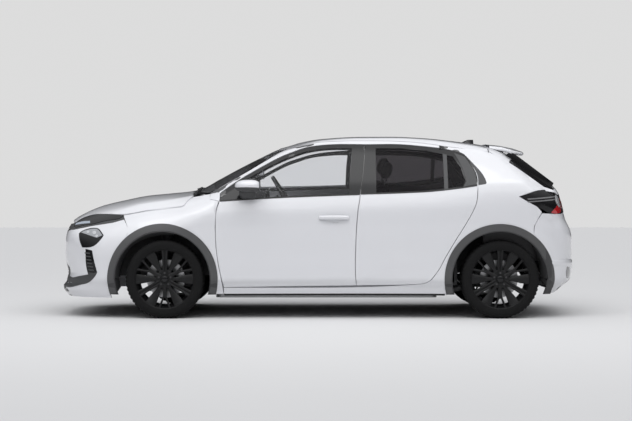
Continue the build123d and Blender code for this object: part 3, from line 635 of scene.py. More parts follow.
both(
    body_panel, "window_bar", in_side_view((-1026, 1040), (-1058, 1043), (-1058, 1325), (-1026, 1333)),
        corner_grain,
    slot="black_trim", body="{}_rear_door", edge=5, proud=4.5, spacing=20,
)
both(
    body_panel, "belt_seal_front",
    in_side_view((786, 944), (560, 958), (301, 973), (-100, 989), (-343, 998), (-343, 1009), (-100, 1001),
        (301, 985), (560, 970), (786, 955)),
    seal_rubber, slot="black_trim", body="{}_front_door", edge=5, proud=4.5, spacing=16,
)
both(
    body_panel, "belt_seal_rear",
    in_side_view(
        (-354, 1001), (-669, 1011), (-911, 1023), (-1178, 1053), (-1291, 1070), (-1291, 1081),
            (-1178, 1065),
        (-911, 1035), (-669, 1023), (-354, 1012),
    ),
    seal_rubber, slot="black_trim", body="{}_rear_door", edge=5, proud=4.5, spacing=16,
)


# ---------------------------------------------------------------- body sides
# One welded side pressing: front roof pillar, roof rail, sill and rear quarter, painted white,
# with a black lip along the bottom of the sill.
def grown(corners, by):
    """An outline moved outwards by a distance on all sides."""
    corners = np.array(corners, float)
    ahead = np.roll(corners, -1, axis=0) - corners
    ahead /= np.linalg.norm(ahead, axis=1, keepdims=True)
    area = np.sum(corners[:, 0] * np.roll(corners[:, 1], -1) - corners[:, 1] * np.roll(corners[:, 0], -1))
    out = np.stack([ahead[:, 1], -ahead[:, 0]], axis=1) * np.sign(area)
    mean = out + np.roll(out, 1, axis=0)
    mean /= np.maximum(np.sum(mean * mean, axis=1, keepdims=True) / 2, 0.35)
    return [tuple(corner) for corner in corners + mean * by]


door_opening = [
    *front_door_front, (-317, 258), *rear_door_rear[::-1], (-1286, 1161), (-1207, 1315), (-1194, 1329),
    (-1110, 1357), (-1015, 1376), (-890, 1391), (-678, 1409), (-393, 1409), *front_door_top,
]
roof_line = [
    (-1396, 1346), (-1109, 1386), (-890, 1418), (-678, 1436), (-322, 1440), (-134, 1436), (-9, 1427),
    (116, 1404), (248, 1373),
]
rear_edge_of_side = [
    (-1476, 1312), (-1573, 1254), (-1845, 1062), (-1945, 1030), (-1936, 1018), (-1807, 1038), (-1624, 986),
    (-1766, 908), (-1812, 861), (-1748, 748),
]
c_pillar_crease = smooth_curve((-2000, 1140), (-1700, 1122), (-1373, 1086), (-1200, 1050))


def quarter_lines(points):
    """The pressed line that runs back from the windows, where the pillar starts to lean in."""
    above = points[:, 2] - c_pillar_crease(points[:, 0])
    fade = np.clip((-1330 - points[:, 0]) / 60, 0, 1)
    return np.where(above > 0, np.exp(-above / 50), np.exp(above / 30)) * 4.0 * fade


side_outline = [
    *roof_line[::-1], *rear_edge_of_side, *wheel_arc(-1474, 448, 127.2, -16.8), (754, 192), (754, 300),
    (796, 950), (869, 964), (869, 1012), (555, 1194),
]
both(
    body_panel, "side_pressing", in_side_view(*side_outline), white_paint, slot="body_paint",
        body="car_body",
    holes=[in_side_view(*grown(door_opening, 5))], edge=30, relief=quarter_lines,
)
both(
    body_panel, "sill_lip", in_side_view((752, 186), (-1030, 186), (-1036, 200), (754, 200)), gloss_black,
    slot="black_trim", body="car_body", edge=20, proud=3.5, spacing=20,
)

# ---------------------------------------------------------------- front wings
# Bolted-on steel wings round the front wheels, from the bonnet's edge to the doors, painted white.
wing_outline = [
    (757, 200), (777, 326), (802, 445), (819, 581), (825, 742), (817, 878), (799, 945), (869, 961),
    (873, 1004), (1009, 980), (1034, 962), (1081, 906), (1105, 896), (1159, 890), (1355, 866), (1576, 828),
    (1568, 806), (1538, 740), *wheel_arc(1250, 448, 50.2, 195.3),
]
both(
    body_panel, "wing_skin", in_side_view(*wing_outline), white_paint, slot="body_paint", body="car_body",
    edge=24, relief=pressed_lines,
)

# ---------------------------------------------------------------- bonnet
# A steel bonnet between the wings, painted white, with a soft crease along each side.
bonnet_side = [
    (1015, 990), (1037, 974), (1081, 917), (1105, 907), (1159, 901), (1355, 877), (1580, 840), (1750, 838),
    (1872, 836), (1943, 814), (1979, 795),
]
bonnet_left = np.concatenate([
    in_plan((1046, 60), (1040, 300), (1026, 560)), in_side_view(*bonnet_side),
        in_plan((2030, 420), (2052, 250), (2062, 60)),
])


def with_mirror(points):
    """A left half outline joined to its mirror image."""
    return np.concatenate([points, points[::-1] * (1, -1, 1)])


def bonnet_lines(points):
    from_crease = np.abs(points[:, 1]) - 640 + (1300 - points[:, 0]) * 0.02
    ridge = np.where(from_crease < 0, np.exp(from_crease / 90), np.exp(-from_crease / 30)) * 7.0
    return ridge * np.clip((2040 - points[:, 0]) / 300, 0, 1)


body_panel(
    "bonnet_skin", with_mirror(bonnet_left), white_paint, "bonnet", "body_paint", edge=22,
        relief=bonnet_lines,
)

# ---------------------------------------------------------------- roof
# The roof pressing is brazed between the side pressings, painted white, with a black fin-shaped
# aerial at the back.
roof_left = np.concatenate([
    in_plan((-1398, 60), (-1398, 300)), in_side_view(*[(x, z + 3) for x, z in roof_line]),
        in_plan((305, 380), (318, 60)),
])
body_panel("roof_skin", with_mirror(roof_left), white_paint, "car_body", "body_paint", edge=20, spacing=34)
fin_sections = []
for level, (nose, tail, half) in enumerate(((-1208, -1346, 26), (-1216, -1345, 24), (-1236, -1344, 15),
    (-1266, -1343, 8), (-1296, -1342, 4))):
    height = float(in_plan((-1275, 0))[0, 2]) - 14 + (0, 10, 22, 37, 48)[level]
    for k in range(24):
        turn = math.tau * k / 24
        along = (nose + tail) / 2 + math.cos(turn) * (nose - tail) / 2
        fin_sections.append((along, half * math.sin(turn) * (0.55 + 0.45 * (tail - along) / (tail - nose)),
            height - (level == 0) * (-1275 - along) * 0.02))
fin_faces = [
    (24 * r + k, 24 * r + (k + 1) % 24, 24 * r + 24 + (k + 1) % 24, 24 * r + 24 + k) for r in range(4)
        for k in range(24)
]
fin_faces.append(tuple(range(96, 120)))
fin_faces.append(tuple(reversed(range(24))))
aerial = new_object("roof_aerial", fin_sections, fin_faces, gloss_black)
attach(aerial, "car_body")

# ---------------------------------------------------------------- windscreen
# Laminated clear screen, bonded in a gloss black printed border that meets the roof and pillars,
# with a black plastic cowl below it and two flat wipers lying on the cowl.
screen_edge = np.concatenate([
    in_plan((322, 60), (309, 380)), in_side_view((254, 1378), (555, 1200), (866, 1018)),
        in_plan((1006, 560), (1024, 300), (1032, 60)),
])
screen_clear = np.concatenate([
    in_plan((292, 60), (282, 360), (262, 520), (300, 580), (555, 655), (840, 700), (900, 660), (948, 560),
        (972, 300), (984, 60)),
])
body_panel(
    "windscreen_border", with_mirror(screen_edge), gloss_black, "car_body", "gloss_black",
    holes=[with_mirror(screen_clear)], edge=8, proud=1.8,
)
screen = body_panel(
    "windscreen_glass", with_mirror(screen_clear), front_glass_finish, "car_body", "clear_glass", edge=4,
        proud=-0.5,
)
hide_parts("windscreen")


def sweep(name, route, section, finish, close=True):
    """A bar of a given section (list of (across, up) points) along a route of points."""
    route = np.array(route, float)
    way = np.gradient(route, axis=0)
    way /= np.linalg.norm(way, axis=1, keepdims=True)
    up = np.array((0, 0, 1.0)) - way * way[:, 2:3]
    up /= np.maximum(np.linalg.norm(up, axis=1, keepdims=True), 1e-6)
    across = np.cross(way, up)
    count = len(section)
    vertices = [r + a * s[0] + u * s[1] for r, a, u in zip(route, across, up) for s in section]
    faces = [
        (count * i + k, count * i + (k + 1) % count, count * (i + 1) + (k + 1) % count, count * (i + 1) + k)
        for i in range(len(route) - 1) for k in range(count)
    ]
    if close:
        faces += [tuple(reversed(range(count))), tuple(range(count * (len(route) - 1), count * len(route)))]
    made = new_object(name, vertices, faces, finish)
    tidy = bmesh.new()
    tidy.from_mesh(made.data)
    bmesh.ops.recalc_face_normals(tidy, faces=tidy.faces)
    tidy.to_mesh(made.data)
    tidy.free()
    return made


for number, (inner, outer) in enumerate((((1000, 640), (985, 30)), ((1015, -10), (930, -600)))):
    t = np.linspace(0, 1, 24)[:, None]
    path = np.array(inner) * (1 - t) + np.array(outer) * t
    route = in_plan(*path) + (0, 0, 9)
    arm = sweep(
        f"screen_wiper_{number + 1}", route, [(-9, -8), (9, -8), (6, 4), (0, 9), (-6, 4)], seal_rubber,
    )
    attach(arm, "car_body")
    hub_x, hub_y = inner
    knob = sweep(
        f"wiper_pivot_{number + 1}", in_plan((hub_x + 4, hub_y), (hub_x + 2, hub_y))
            + ((0, 0, 2), (0, 0, 15)),
        [(12 * math.cos(a), 12 * math.sin(a)) for a in np.linspace(0, math.tau, 17)[:-1]], seal_rubber,
    )
    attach(knob, "car_body")

# ---------------------------------------------------------------- front bumper
# A moulded, painted bumper round the nose, with a wide lower mouth behind black slats, a black
# frame round the mouth, a slatted air slot at each corner and a lip below.
nose_side = [(1538, 736), (1570, 796), (1660, 769), (1830, 742), (2000, 708)]
bumper_arch = wheel_arc(1250, 448, 49.7, -16.5)
bumper_left = np.concatenate([
    from_ahead((60, 704), (380, 704)), in_side_view(*nose_side[::-1]), in_side_view(*bumper_arch),
    in_side_view((1800, 180)), from_ahead((500, 176), (60, 174)),
])
mouth_left = from_ahead((40, 402), (430, 396), (470, 380), (440, 276), (40, 268))
body_panel(
    "front_bumper_skin", with_mirror(bumper_left), white_paint, "car_body", "body_paint",
    holes=[with_mirror(mouth_left)], edge=16, chart="nose",
)
mouth_frame = from_ahead((40, 440), (480, 430), (560, 400), (560, 240), (480, 222), (40, 218))
body_panel(
    "mouth_frame", with_mirror(mouth_frame), corner_grain, "car_body", "black_trim",
    holes=[with_mirror(from_ahead((40, 400), (428, 394), (466, 378), (438, 278), (40, 270)))],
    edge=26, proud=3.4, chart="nose", spacing=20,
)
slot_corners = [(1884, 560), (1826, 548), (1782, 373), (1833, 305), (1862, 362)]
both(
    body_panel, "corner_air_slot", in_side_view(*slot_corners), gloss_black, slot="gloss_black",
        body="car_body",
    edge=4, proud=3.4, chart="nose", spacing=16,
)
for row in range(8):
    z = 330 + 27 * row
    left = 1800 - (z - 373) * -0.25 if z > 373 else 1800 + (373 - z) * 0.5
    both(
        body_panel, f"corner_slat_{row + 1}",
        in_side_view((left + 6, z), (left + 50, z + 3), (left + 52, z + 13), (left + 8, z + 10)),
            corner_grain,
        slot="black_trim", body="car_body", edge=5, proud=6.5, chart="nose", spacing=10,
    )
body_panel(
    "front_lip", with_mirror(from_ahead((60, 216), (420, 218), (560, 226), (560, 204), (420, 196),
        (60, 190))), gloss_black,
    "car_body", "black_trim", edge=6, proud=5.5, chart="nose", spacing=20,
)
both(
    body_panel, "corner_sweep",
    np.concatenate([
        in_side_view((1868, 352), (1780, 374), (1800, 338), (1847, 294), (1950, 260), (2035, 240)),
        from_ahead((556, 238), (556, 330)), in_side_view((2003, 322), (1940, 336)),
    ]),
    corner_grain, slot="black_trim", body="car_body", edge=6, proud=4.4, chart="nose", spacing=16,
)

# ---------------------------------------------------------------- head lamps
# Slim upper lamps with a white light bar, joined across the nose by a black strip, and a main
# lamp lower down at each corner, behind clear plastic with reflectors and a black half.
upper_lamp = [
    (1578, 832), (1600, 812), (1721, 788), (1855, 757), (1938, 744), (1972, 733), (2010, 735), (2000, 762),
    (1965, 795), (1930, 812), (1872, 830),
]
both(
    body_panel, "upper_lamp_lens", in_side_view(*upper_lamp), gloss_black, slot="lamp_lens",
        body="car_body",
    edge=10, proud=3.0, chart="nose", spacing=18,
)
light_bar = bpy.data.materials.new("white light bar")
light_bar.use_nodes = True
bar_shader = light_bar.node_tree.nodes["Principled BSDF"]
bar_varied = light_bar.node_tree.nodes.new("ShaderNodeGroup")
bar_varied.node_tree = surface_change
bar_varied.inputs["Colour"].default_value = (0.30, 0.34, 0.40, 1)
bar_varied.inputs["Roughness"].default_value = 0.2
light_bar.node_tree.links.new(bar_varied.outputs["Colour"], bar_shader.inputs["Base Color"])
light_bar.node_tree.links.new(bar_varied.outputs["Roughness"], bar_shader.inputs["Roughness"])
bar_shader.inputs["Emission Color"].default_value = (0.9, 0.95, 1.0, 1)
bar_shader.inputs["Emission Strength"].default_value = 0.04
both(
    body_panel, "light_bar", in_side_view((1862, 765), (1940, 757), (1996, 748), (1990, 762), (1935, 776),
        (1866, 782)),
    light_bar, slot="lamp_lens", body="car_body", edge=4, proud=5.0, chart="nose", spacing=12,
)
nose_band = from_ahead((30, 752), (300, 752), (420, 750), (440, 722), (300, 714), (30, 714))
body_panel(
    "nose_band", with_mirror(nose_band), gloss_black, "car_body", "gloss_black", edge=8, proud=3.0,
        chart="nose", spacing=20,
)
lower_lamp = [
    (1948, 686), (1898, 714), (1800, 728), (1775, 719), (1732, 672), (1742, 653), (1808, 587), (1849, 573),
    (1915, 571), (1939, 628),
]
both(
    body_panel, "lower_lamp_housing", in_side_view(*lower_lamp), gloss_black, slot="lamp_lens",
        body="car_body",
    edge=10, proud=3.0, chart="nose", spacing=16,
)
reflector_chrome = finish_of("lamp reflector", (0.62, 0.63, 0.65), 0.18, change=0.1, change_scale=25,
    Metallic=1.0)
lens_clear = finish_of("lamp inner", (0.30, 0.31, 0.33), 0.15, change=0.2, change_scale=18, Coat_Weight=1.0)
both(
    body_panel, "lower_lamp_reflector",
    in_side_view((1930, 690), (1894, 706), (1800, 720), (1780, 712), (1742, 670), (1790, 650), (1880, 676)),
        lens_clear,
    slot="lamp_lens", body="car_body", edge=4, proud=5.0, chart="nose", spacing=14,
)
for number, (x, z, size) in enumerate(((1812, 690, 17), (1868, 694, 14), (1790, 664, 12))):
    both(
        body_panel, f"lamp_reflector_{number + 1}",
        in_side_view(*[(x + size * math.cos(a), z + size * 0.8 * math.sin(a))
            for a in np.linspace(0, math.tau, 15)[:-1]]),
        reflector_chrome, slot="lamp_lens", body="car_body", edge=3, proud=7.0, chart="nose", spacing=7,
    )

# ---------------------------------------------------------------- tailgate
# A pressed tailgate painted white, with a white spoiler lip over the rear window, black side
# fins, the dark rear window, a small wiper and a recess for a blank number plate.
tail_top = np.concatenate([in_plan((-1404, 60), (-1404, 480)), in_side_view((-1408, 1352), (-1480, 1302),
    (-1556, 1248)), in_plan((-1604, 540), (-1600, 60))])
body_panel("tailgate_top", with_mirror(tail_top), white_paint, "tailgate", "body_paint", edge=16)
window_left = in_plan((-1604, 60), (-1608, 300), (-1630, 500), (-1840, 560), (-1915, 500), (-1930, 300),
    (-1934, 60))
surround_left = np.concatenate([
    in_plan((-1602, 60), (-1600, 540)), in_side_view((-1562, 1243), (-1700, 1152), (-1842, 1060),
        (-1936, 1036)),
    in_plan((-1962, 500), (-1976, 300), (-1982, 60)),
])
body_panel(
    "rear_window_border_black", with_mirror(surround_left), gloss_black, "tailgate", "gloss_black",
    holes=[with_mirror(window_left)], edge=16, proud=1.6,
)
rear_glass = body_panel(
    "rear_window_glass", with_mirror(window_left), privacy_glass_finish, "tailgate", "dark_glass", edge=4,
        proud=-2.5,
)
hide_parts("rear_window")
spoiler_section = [(-1420, 1424), (-1520, 1414), (-1640, 1392), (-1722, 1364), (-1736, 1350), (-1730, 1343),
    (-1640, 1352), (-1560, 1376), (-1480, 1396)]
rows = []
for y in (-560, -548, -500, -380, -200, 0, 200, 380, 500, 548, 560):
    drop = 26 * (abs(y) / 560) ** 3
    pull = 40 * (abs(y) / 560) ** 4
    thin = 0.55 if abs(y) == 560 else 1.0
    rows.append([(x + pull * (x < -1600), y, 1385 + (z - 1385) * thin - drop + 3) for x,
        z in spoiler_section])
count = len(spoiler_section)
faces = [
    (count * r + k, count * r + (k + 1) % count, count * (r + 1) + (k + 1) % count, count * (r + 1) + k)
    for r in range(len(rows) - 1) for k in range(count)
]
faces += [tuple(reversed(range(count))), tuple(range(count * (len(rows) - 1), count * len(rows)))]
spoiler = new_object("spoiler_lip", [p for row in rows for p in row], faces, white_paint, sharp=50)


def softened(made, width, segments=2, angle=30):
    """Rounds the hard edges of a piece."""
    bevel = made.modifiers.new("rounded edges", "BEVEL")
    bevel.width = width / 1000
    bevel.segments = segments
    bevel.limit_method = "ANGLE"
    bevel.angle_limit = math.radians(angle)
    return made


softened(spoiler, 4)
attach(spoiler, "tailgate")
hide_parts("rear_spoiler")
for word, side in (("left", 1), ("right", -1)):
    fin_route = [(-1560, side * 548, 1302), (-1600, side * 552, 1330), (-1650, side * 566, 1290),
        (-1760, side * 590, 1205), (-1900, side * 606, 1098), (-1936, side * 590, 1074)]
    fin = sweep(
        f"{word}_window_fin", fin_route, [(-4, -34), (4, -34), (6, 0), (3, 26), (-3, 26), (-6, 0)],
            gloss_black,
    )
    softened(fin, 2)
    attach(fin, "tailgate")

tail_panel = np.concatenate([
    from_behind((60, 1028), (300, 1022), (516, 1000), (516, 704), (300, 704), (60, 704)),
])
body_panel(
    "tailgate_panel", with_mirror(tail_panel), white_paint, "tailgate", "body_paint", edge=20, chart="tail",
)
plate_finish = finish_of("blank plate", (0.70, 0.71, 0.70), 0.4, change=0.05, change_scale=14,
    grain=(500, 0.1))
body_panel(
    "plate_recess_rear", with_mirror(from_behind((30, 812), (272, 812), (284, 800), (284, 708), (30, 708))),
        corner_grain,
    "tailgate", "black_trim", edge=3, proud=3.2, chart="tail", spacing=22,
)
body_panel(
    "blank_plate_rear", with_mirror(from_behind((30, 808), (258, 808), (258, 716), (30, 716))),
        plate_finish,
    "tailgate", "black_trim", edge=3, proud=5.6, chart="tail", spacing=22,
)
body_panel(
    "blank_plate_front", with_mirror(from_ahead((30, 540), (258, 540), (258, 432), (30, 432))),
        plate_finish,
    "car_body", "black_trim", edge=6, proud=9, chart="nose", spacing=22,
)
wiper_route = in_plan(*[(-1930 + 40 * t, 330 * t) for t in np.linspace(0, 1, 12)]) + (0, 0, 12)
rear_wiper = sweep("rear_wiper", wiper_route, [(-9, -6), (9, -6), (5, 5), (-5, 5)], seal_rubber)
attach(rear_wiper, "tailgate")
pivot = sweep(
    "rear_wiper_pivot", [(-1930, 0, 1110), (-1938, 0, 1136), (-1942, 0, 1150)],
    [(24 * math.cos(a), 24 * math.sin(a)) for a in np.linspace(0, math.tau, 17)[:-1]], seal_rubber,
)
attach(pivot, "tailgate")

# ---------------------------------------------------------------- tail lamps
# Wedge-shaped lamps at the rear corners: a black case, grey inner stripes, a red lens low down
# and a clear ring outboard, with a thin red strip across the tailgate between them.
lamp_side = [(-1624, 986), (-1807, 1038), (-1936, 1018), (-1961, 982), (-1985, 917), (-1993, 873),
    (-1969, 848), (-1904, 846), (-1766, 908)]
both(
    body_panel, "tail_lamp_case",
    np.concatenate([in_side_view(*lamp_side[:3]), from_behind((640, 1004), (530, 1000), (530, 862),
        (640, 852)), in_side_view(*lamp_side[6:])]),
    gloss_black, slot="tail_lens", body="car_body", edge=14, proud=2.6, chart="tail", spacing=18,
)
red_lens = finish_of("red lens", (0.42, 0.008, 0.012), 0.12, change=0.1, change_scale=22, Coat_Weight=1.0,
    Coat_Roughness=0.02)
clear_lens = finish_of("clear lens", (0.52, 0.53, 0.55), 0.1, change=0.12, change_scale=22, Coat_Weight=1.0,
    Coat_Roughness=0.02)
stripe_grey = finish_of("smoked lens", (0.16, 0.16, 0.165), 0.16, change=0.15, change_scale=12,
    Coat_Weight=1.0)
both(
    body_panel, "tail_lamp_red", in_side_view((-1890, 858), (-1942, 912), (-1988, 896), (-1990, 868),
        (-1966, 852), (-1910, 850)),
    red_lens, slot="tail_lens", body="car_body", edge=5, proud=5.0, chart="tail", spacing=14,
)
both(
    body_panel, "tail_lamp_ring", in_side_view((-1948, 1000), (-1975, 960), (-1988, 905), (-1962, 896),
        (-1936, 940), (-1932, 990)),
    clear_lens, slot="tail_lens", body="car_body", edge=5, proud=5.6, chart="tail", spacing=12,
)
for number, (z_front, z_back) in enumerate(((962, 990), (940, 968))):
    both(
        body_panel, f"tail_lamp_stripe_{number + 1}",
        in_side_view((-1700, z_front - 2), (-1928, z_back - 12), (-1928, z_back - 2), (-1690, z_front + 8)),
            stripe_grey,
        slot="tail_lens", body="car_body", edge=4, proud=4.2, chart="tail", spacing=12,
    )
both(
    body_panel, "tail_lamp_rear_red", from_behind((545, 888), (545, 972), (640, 966), (700, 950),
        (700, 902), (640, 892)), red_lens,
    slot="tail_lens", body="car_body", edge=5, proud=5.0, chart="tail", spacing=16,
)
body_panel(
    "tail_strip", with_mirror(from_behind((30, 952), (508, 946), (508, 916), (30, 920))), red_lens,
        "tailgate", "tail_lens",
    edge=4, proud=4.0, chart="tail", spacing=18,
)

# ---------------------------------------------------------------- rear bumper
# A moulded, painted bumper that wraps to the rear arches, with a grained lower part and a dark
# reflector at each corner.
rear_arch = wheel_arc(-1474, 448, 130.0, 189.5)
rear_left = np.concatenate([
    from_behind((60, 698), (514, 698), (522, 706), (522, 838)), in_side_view((-1990, 842), (-1816, 850),
        (-1753, 745)),
    in_side_view(*rear_arch), in_side_view((-1930, 236), (-2010, 250)), from_behind((500, 262), (60, 262)),
])
body_panel(
    "rear_bumper_skin", with_mirror(rear_left), white_paint, "car_body", "body_paint", edge=16,
        chart="tail",
)
valance = np.concatenate([
    from_behind((60, 330), (420, 330), (520, 300)), in_side_view((-2030, 262), (-1990, 240)),
        from_behind((500, 208), (60, 204)),
])
body_panel("rear_valance", with_mirror(valance), corner_grain, "car_body", "black_trim", edge=10, proud=3.6,
    chart="tail", spacing=22)
both(
    body_panel, "rear_reflector", in_side_view((-2040, 414), (-2064, 404), (-2078, 350), (-2062, 312),
        (-2040, 320), (-2030, 366)),
    stripe_grey, slot="tail_lens", body="car_body", edge=4, proud=4.4, chart="tail", spacing=12,
)

# ---------------------------------------------------------------- wheel arch trim
# Clip-on grained plastic rings round the wheel arches: a lighter outer band, and a return that
# runs in towards the liner, coloured darker than the band as painted shade.
arch_grain = finish_of("arch trim", (0.072, 0.072, 0.074), 0.55, change=0.12, change_scale=9,
    grain=(650, 0.5))
# Painted shade: a darker copy of the arch trim's colour, for the return and the arch liners.
arch_painted_shade = finish_of("arch return", (0.045, 0.045, 0.047), 0.6, change=0.12, change_scale=9,
    grain=(650, 0.5))
for where, centre_x, low_front, low_rear in (("front", 1250, -16.2, 196.2), ("rear", -1474, -16.2, 189.0)):
    outer = wheel_arc(centre_x, 447, low_front, low_rear, 60)
    inner = wheel_arc(centre_x, 392, low_rear, low_front, 60)
    both(
        body_panel, f"{where}_arch_band", in_side_view(*outer, *inner), arch_grain, slot="arch_trim",
            body="car_body",
        edge=12, proud=6.5, spacing=16,
    )
    # The return is coloured with the darker copy of the trim, as painted shade.
    ring = wheel_arc(centre_x, 391.5, low_front, low_rear, 60)
    hem = wheel_arc(centre_x, 385, low_rear, low_front, 60)
    both(
        body_panel, f"{where}_arch_return", in_side_view(*ring, *hem), arch_painted_shade, slot="arch_trim",
            body="car_body",
        edge=120, proud=4.0, spacing=16,
    )

# ---------------------------------------------------------------- door mirrors
# A painted cap over a black case with the mirror glass set in its rear, on a black foot that is
# bolted to the door's corner.
mirror_glass = finish_of("mirror glass", (0.75, 0.77, 0.80), 0.03, change=0.03, Metallic=1.0)


def mirror_shell(name, side, finish, low, high, body):
    """Part of the mirror's rounded shell, between two angles round its length."""
    sections, faces = [], []
    stations = [(884, 0.62, 0), (896, 0.86, 0), (920, 0.97, 2), (955, 1.0, 4), (990, 0.97, 3),
        (1014, 0.84, 1), (1026, 0.62, 0), (1032, 0.3, -2)]
    angles = np.radians(np.linspace(low, high, 25))
    for y, size, rise in stations:
        for a in angles:
            c, s = math.cos(a), math.sin(a)
            along = math.copysign(abs(c) ** 0.75, c) * (88 if c < 0 else 118) * size
            up = math.copysign(abs(s) ** 0.8, s) * (52 if s > 0 else 46) * size
            sections.append((552 + along - (y - 884) * 0.12, side * y, 1066 + up + rise))
    n = len(angles)
    for r in range(len(stations) - 1):
        faces += [(n * r + k, n * r + k + 1, n * (r + 1) + k + 1, n * (r + 1) + k) for k in range(n - 1)]
    faces.append(tuple(range(n)))
    faces.append(tuple(range(n * (len(stations) - 1), n * len(stations)))[::-1])
    made = new_object(name, sections, faces, finish, sharp=45)
    tidy = bmesh.new()
    tidy.from_mesh(made.data)
    bmesh.ops.recalc_face_normals(tidy, faces=tidy.faces)
    tidy.to_mesh(made.data)
    tidy.free()
    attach(made, body)
    return made


for word, side in (("left", 1), ("right", -1)):
    cap = mirror_shell(f"{word}_mirror_cap", side, white_paint, -8, 196, f"{word}_front_door")
    case = mirror_shell(f"{word}_mirror_case", side, corner_grain, 190, 354, f"{word}_front_door")
    pane = sweep(
        f"{word}_mirror_pane", [(470, side * 900, 1066), (460, side * 1016, 1068)],
        [(-4, -34), (0, -38), (4, -34), (4, 36), (0, 40), (-4, 36)], mirror_glass,
    )
    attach(pane, f"{word}_front_door")
    foot = sweep(
        f"{word}_mirror_foot", [(560, side * 850, 975), (566, side * 880, 996), (566, side * 905, 1030)],
        [(-62, -10), (40, -14), (66, 0), (40, 12), (-50, 12), (-70, 0)], corner_grain,
    )
    softened(foot, 5)
    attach(foot, f"{word}_front_door")
    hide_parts(f"{word}_door_mirror")

# ---------------------------------------------------------------- door handles
# Painted pull handles over a shallow recess in the front doors, with a small round key cover and
# a thin dark grained band round the recess as painted shadow along its edge.
# Painted shadow: a dark band a little wider than the recess stands for the shade round its edge.
both(
    body_panel, "handle_rim",
    in_side_view((-15, 824), (-27, 845), (-120, 856), (-220, 854), (-262, 839), (-267, 818), (-254, 791),
        (-201, 778), (-89, 776), (-30, 789)),
    arch_grain, slot="black_trim", body="{}_front_door", edge=3, proud=2.5, spacing=14,
)
both(
    body_panel, "handle_recess",
    in_side_view((-20, 824), (-30, 842), (-120, 852), (-220, 850), (-258, 836), (-262, 818), (-250, 794),
        (-200, 782), (-90, 780), (-34, 792)),
    white_paint, slot="body_paint", body="{}_front_door", edge=3, proud=3.2, spacing=14,
)
for word, side in (("left", 1), ("right", -1)):
    along = np.linspace(0, 1, 22)
    bow = np.sin(np.pi * along)
    handle_line = in_side_view(*[(-18 - 236 * t, 815 + 3 * b) for t, b in zip(along, bow)])
    handle_line[:, 1] += 6 + 20 * bow ** 0.6
    handle_line[:, 1] *= side
    handle = sweep(
        f"{word}_door_handle", handle_line, [(11 * math.cos(a) * 0.8, 17 * math.sin(a))
            for a in np.linspace(0, math.tau, 15)[:-1]],
        white_paint,
    )
    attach(handle, f"{word}_front_door")
    spot = in_side_view((-240, 815))[0] * (1, side, 1)
    key_cover = sweep(
        f"{word}_key_cover", [spot + (0, side * 8, 0), spot + (0, side * 16, 0)],
        [(8 * math.cos(a), 8 * math.sin(a)) for a in np.linspace(0, math.tau, 15)[:-1]], seal_rubber,
    )
    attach(key_cover, f"{word}_front_door")

# ---------------------------------------------------------------- road wheels
# Cast alloy wheels in satin black: a deep barrel, and a face of twelve arms, where straight
# grooved twin spokes and forked spokes stand out between broad flat blades. A vented steel disc
# sits behind, with five bolts and a plain cap in the middle.
wheel_black = finish_of("satin black wheel", (0.006, 0.006, 0.0065), 0.42, change=0.15, change_scale=14,
    Specular_IOR_Level=0.3)
disc_steel = finish_of("brake disc steel", (0.50, 0.50, 0.51), 0.32, change=0.2, change_scale=40,
    Metallic=1.0)
cast_iron = finish_of("coated casting", (0.035, 0.035, 0.037), 0.55, change=0.2, change_scale=18,
    grain=(500, 0.4))
tyre_rubber = finish_of("tyre rubber", (0.006, 0.006, 0.0063), 0.78, change=0.18, change_scale=10,
    grain=(900, 0.25), Specular_IOR_Level=0.2)


def lathe(profile, turns=96):
    """Points and faces of a (radius, out) profile turned about the wheel's axle."""
    points, faces = [], []
    n = len(profile)
    for t in range(turns):
        a = math.tau * t / turns
        points += [(r * math.cos(a), out, r * math.sin(a)) for r, out in profile]
        u = (t + 1) % turns
        faces += [(n * t + k, n * t + k + 1, n * u + k + 1, n * u + k) for k in range(n - 1)]
    return points, faces


def arm(angle, stations, top=0.0):
    """A spoke: (radius, sideways offset, half width, outer level, thickness) at each station."""
    points, faces = [], []
    c, s = math.cos(math.radians(angle)), math.sin(math.radians(angle))
    for radius, offset, half, level, thick in stations:
        for across, out in ((-half, level - thick), (-half, level - 3), (-half + 4, level),
            (half - 4, level), (half, level - 3), (half, level - thick)):
            side = offset + across
            points.append((radius * c - side * s, out + top, radius * s + side * c))
    count = 6
    for r in range(len(stations) - 1):
        faces += [
            (count * r + k, count * r + (k + 1) % count, count * (r + 1) + (k + 1) % count, count * (r + 1)
                + k)
            for k in range(count)
        ]
    faces += [tuple(reversed(range(count))),
        tuple(range(count * (len(stations) - 1), count * len(stations)))]
    return points, faces


def gathered(pieces):
    points, faces = [], []
    for some_points, some_faces in pieces:
        faces += [tuple(i + len(points) for i in face) for face in some_faces]
        points += some_points
    return points, faces


rim_profile = [
    (246, 101), (243, 104), (238, 104), (234, 100), (232, 84), (222, 72), (214, 40), (208, -30), (216, -70),
    (226, -92), (240, -98), (246, -98), (246, -92), (232, -86), (222, -66), (218, 0), (228, 60), (240, 88),
        (246, 96), (246, 101),
]
face_pieces = [lathe(rim_profile)]
for angle in (90, 210, 330):
    for offset in (-11, 11):
        face_pieces.append(arm(angle, [(40, offset, 8, 92, 34), (110, offset * 1.05, 8, 90, 30),
            (180, offset * 1.2, 8.5, 93, 28), (236, offset * 1.5, 10, 99, 26)]))
    face_pieces.append(arm(angle, [(40, 0, 8, 84, 26), (120, 0, 8, 82, 22), (236, 0, 12, 90, 20)]))
for angle in (30, 150, 270):
    face_pieces.append(arm(angle, [(40, 0, 17, 92, 34), (90, 0, 14, 90, 30), (128, 0, 15, 90, 28),
        (150, 0, 19, 89, 26)]))
    for way in (-1, 1):
        face_pieces.append(arm(angle, [(128, way * 6, 8, 90, 26), (160, way * 16, 8, 91, 26),
            (200, way * 31, 8.5, 94, 26), (236, way * 44, 10, 99, 26)]))
